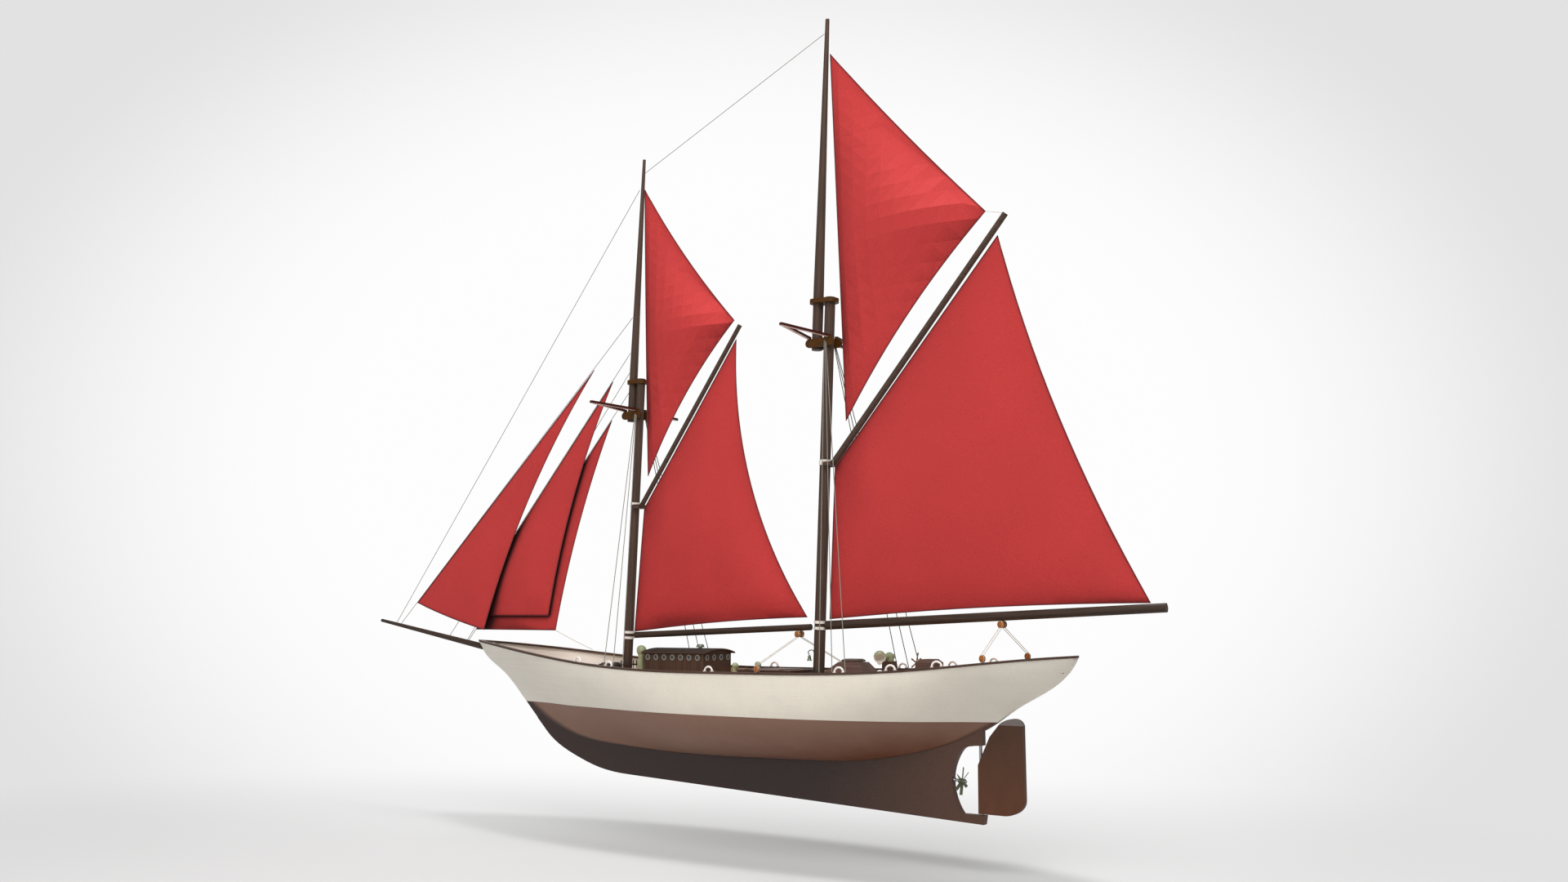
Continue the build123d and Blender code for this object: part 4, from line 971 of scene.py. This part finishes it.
def fife_rail(mast_x, deck_z, side_y):
    """Short pin rails on posts at both sides of a mast, with turned belaying pins."""
    rails, pins = bmesh.new(), bmesh.new()
    profile = [(along * MM, r * MM) for along, r in BELAYING_PIN]
    top = deck_z + 17 * MM
    for side in (-1, 1):
        foot = Vector((mast_x, side * side_y, deck_z))
        head = Vector((mast_x, side * side_y, top))
        add_box(rails, head + Vector((-22, -1.8, -1.2)) * MM, head + Vector((6, 1.8, 1.2)) * MM, 0.4 * MM)
        for post in (-20, 4):
            add_box(rails, foot + Vector((post - 1.3, -1.3, 0)) * MM,
                    head + Vector((post + 1.3, 1.3, 0)) * MM, 0.3 * MM)
        for x in (-15, -8, -1):
            add_turned(pins, head + Vector((x, 0, -6)) * MM, Vector((0, 0, 1)), profile, 10)
    return rails, pins


def fife_rails(stations):
    """Pin rails abreast of both masts."""
    for name, node in (("fore", "fore_lower_mast"), ("main", "main_lower_mast")):
        low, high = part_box(node)
        middle = (high.x + low.x) / 2
        deck_z = min(stations, key=lambda station: abs(station[0] - middle))[1]
        slant = (high.x - low.x) / (high.z - low.z)
        lean = 0.35 * slant                    # less than the box's, which has the mast's thickness in it
        mast_x = high.x - 8 * MM - (deck_z - low.z) * lean
        rails, pins = fife_rail(mast_x, deck_z, 15 * MM)
        piece(name + "_fife_rail", rails, "batten_wood", "root", False)
        piece(name + "_belaying_pins", pins, "iron", "root")


# ---- studio -----------------------------------------------------------------------------
BACKDROP = 0.985               # brightness of the backdrop's middle
CORNER_LOSS = 0.225            # how much less its corners have
SKY = 0.47                     # strength of the even light from all round
FLOOR_FADE = (0.67, 2.26)      # distances over which the floor turns into the backdrop
FLOOR_MIDDLE = (-0.19, 1.06, FLOOR_Z)   # the place that those distances are measured from
PAPER_MIDDLE = (0.484, 0.481, 0)        # brightest place, in shares of the picture's width and height
PAPER_STRETCH = (2.0, 1.65, 0)          # picture widths and heights to units of the fall in brightness
PAPER_FALL = (0.25, 1.25)               # squared distances, in those units, where it starts and ends
# Area lights: place, the point they aim at, width and power in watts.
LIGHTS = {
    "key_light": ((-1.3, 1.7, 2.7), (0, 0, 0.4), 2.2, 76),
    "top_light": ((-0.1, -0.08, 2.4), (0, 0, 0), 0.45, 33),
    "front_light": ((0.9, 3.2, 0.9), (0.2, 0, 0.3), 1.5, 21),
    "fill_light": ((2.0, -2.0, 2.0), (0.1, 0, 0.4), 2.5, 15),
}
CAMERA_PLACE = (-1.0641, 1.6164, 0.2518)
CAMERA_AZIMUTH = 33.59                  # degrees from straight to starboard, towards the bow
CAMERA_PITCH = 8.12                     # degrees above level
CAMERA_LENS = 29.383                    # mm, on a sensor 36 mm wide


def paper_glow(nodes, links):
    """Brightness of the white backdrop: even in the middle of the picture, less at its corners."""
    def combined(operation, a, b):
        node = nodes.new("ShaderNodeVectorMath")
        node.operation = operation
        links.new(a, node.inputs[0])
        if isinstance(b, tuple):
            node.inputs[1].default_value = b
        else:
            links.new(b, node.inputs[1])
        return node

    window = nodes.new("ShaderNodeTexCoord").outputs["Window"]
    offset = combined("SUBTRACT", window, PAPER_MIDDLE).outputs[0]
    widened = combined("MULTIPLY", offset, PAPER_STRETCH).outputs[0]
    squared = combined("DOT_PRODUCT", widened, widened).outputs["Value"]
    fall = nodes.new("ShaderNodeMapRange")
    fall.interpolation_type = "SMOOTHSTEP"
    links.new(squared, fall.inputs["Value"])
    low, high = PAPER_FALL
    limits = {"From Min": low, "From Max": high, "To Min": BACKDROP, "To Max": BACKDROP - CORNER_LOSS}
    for socket, number in limits.items():
        fall.inputs[socket].default_value = number
    return fall.outputs["Result"]


def floor():
    """Pale floor that fades into the backdrop far from the boat."""
    bm = bmesh.new()
    bmesh.ops.create_grid(bm, x_segments=8, y_segments=8, size=12.0)
    mesh = mesh_of(bm, "studio_floor")
    obj = bpy.data.objects.new("studio_floor", mesh)
    obj.location = (0, 0, FLOOR_Z)
    bpy.context.scene.collection.objects.link(obj)
    s = Shader("floor_paper", 0.9)
    grain = s.noise([900.0] * 3, 2.0)
    s.colour(s.mix(grain, (0.52, 0.52, 0.52, 1), (0.55, 0.55, 0.55, 1)))
    position = s.nodes.new("ShaderNodeNewGeometry").outputs["Position"]
    away = s.distance(position, FLOOR_MIDDLE)
    glow = s.nodes.new("ShaderNodeEmission")
    glow.inputs["Color"].default_value = (1, 1, 1, 1)
    s.put(glow.inputs["Strength"], paper_glow(s.nodes, s.links))
    blend = s.nodes.new("ShaderNodeMixShader")
    fade = s.spread(away, *FLOOR_FADE)
    fade.node.interpolation_type = "SMOOTHSTEP"
    s.put(blend.inputs[0], fade)
    s.put(blend.inputs[1], s.surface.outputs[0])
    s.put(blend.inputs[2], glow.outputs[0])
    out = s.nodes["Material Output"]
    s.put(out.inputs["Surface"], blend.outputs[0])
    mesh.materials.append(s.material)


def backdrop():
    """White backdrop for the camera and a softer even light for the boat."""
    world = bpy.data.worlds.new("studio")
    bpy.context.scene.world = world
    world.use_nodes = True
    nodes, links = world.node_tree.nodes, world.node_tree.links
    light = nodes["Background"]
    light.inputs["Color"].default_value = (1, 1, 1, 1)
    light.inputs["Strength"].default_value = SKY
    seen = nodes.new("ShaderNodeBackground")
    seen.inputs["Color"].default_value = (1, 1, 1, 1)
    links.new(paper_glow(nodes, links), seen.inputs["Strength"])
    path = nodes.new("ShaderNodeLightPath")
    mix = nodes.new("ShaderNodeMixShader")
    links.new(path.outputs["Is Camera Ray"], mix.inputs[0])
    links.new(light.outputs[0], mix.inputs[1])
    links.new(seen.outputs[0], mix.inputs[2])
    links.new(mix.outputs[0], nodes["World Output"].inputs["Surface"])


def area_light(name, place, aim, size, power):
    data = bpy.data.lights.new(name, "AREA")
    data.shape = "SQUARE"
    data.size = size
    data.energy = power
    obj = bpy.data.objects.new(name, data)
    obj.location = place
    obj.rotation_euler = (Vector(aim) - Vector(place)).to_track_quat("-Z", "Y").to_euler()
    bpy.context.scene.collection.objects.link(obj)


def camera():
    """Low three-quarter view from the port quarter, looking slightly up at the rig."""
    data = bpy.data.cameras.new("camera")
    data.lens = CAMERA_LENS
    data.sensor_width = 36.0
    obj = bpy.data.objects.new("camera", data)
    obj.location = CAMERA_PLACE
    azimuth, pitch = math.radians(CAMERA_AZIMUTH), math.radians(CAMERA_PITCH)
    level = math.cos(pitch)
    aim = Vector((math.sin(azimuth) * level, -math.cos(azimuth) * level, math.sin(pitch)))
    obj.rotation_euler = aim.to_track_quat("-Z", "Y").to_euler()
    bpy.context.scene.collection.objects.link(obj)
    bpy.context.scene.camera = obj


# ---- build ------------------------------------------------------------------------------
finish_nodes()
outlines = {node: make_sail(node) for node in SAILS}
for node, body in (("main_boom_blocks", "main_sail_set"), ("fore_boom_blocks", "fore_sail_set"),
                   ("deck_blocks", "root")):
    pulley_blocks(node, body)
sheet("main_sheet")
sheet("fore_sheet")
staysail_sheet(furthest(outlines["fore_staysail"], (-1, -1)))
clew_line(furthest(outlines["main_topsail"], (-1, 0)))
stations = deck_stations(6 * MM)
planking(stations)
wall_battens()
roof_moulding()
lid_frame()
waist_hatch()
fife_rails(stations)

floor()
backdrop()
for name, (place, aim, size, power) in LIGHTS.items():
    area_light(name, place, aim, size, power)
camera()
bpy.context.scene.view_settings.view_transform = "Standard"
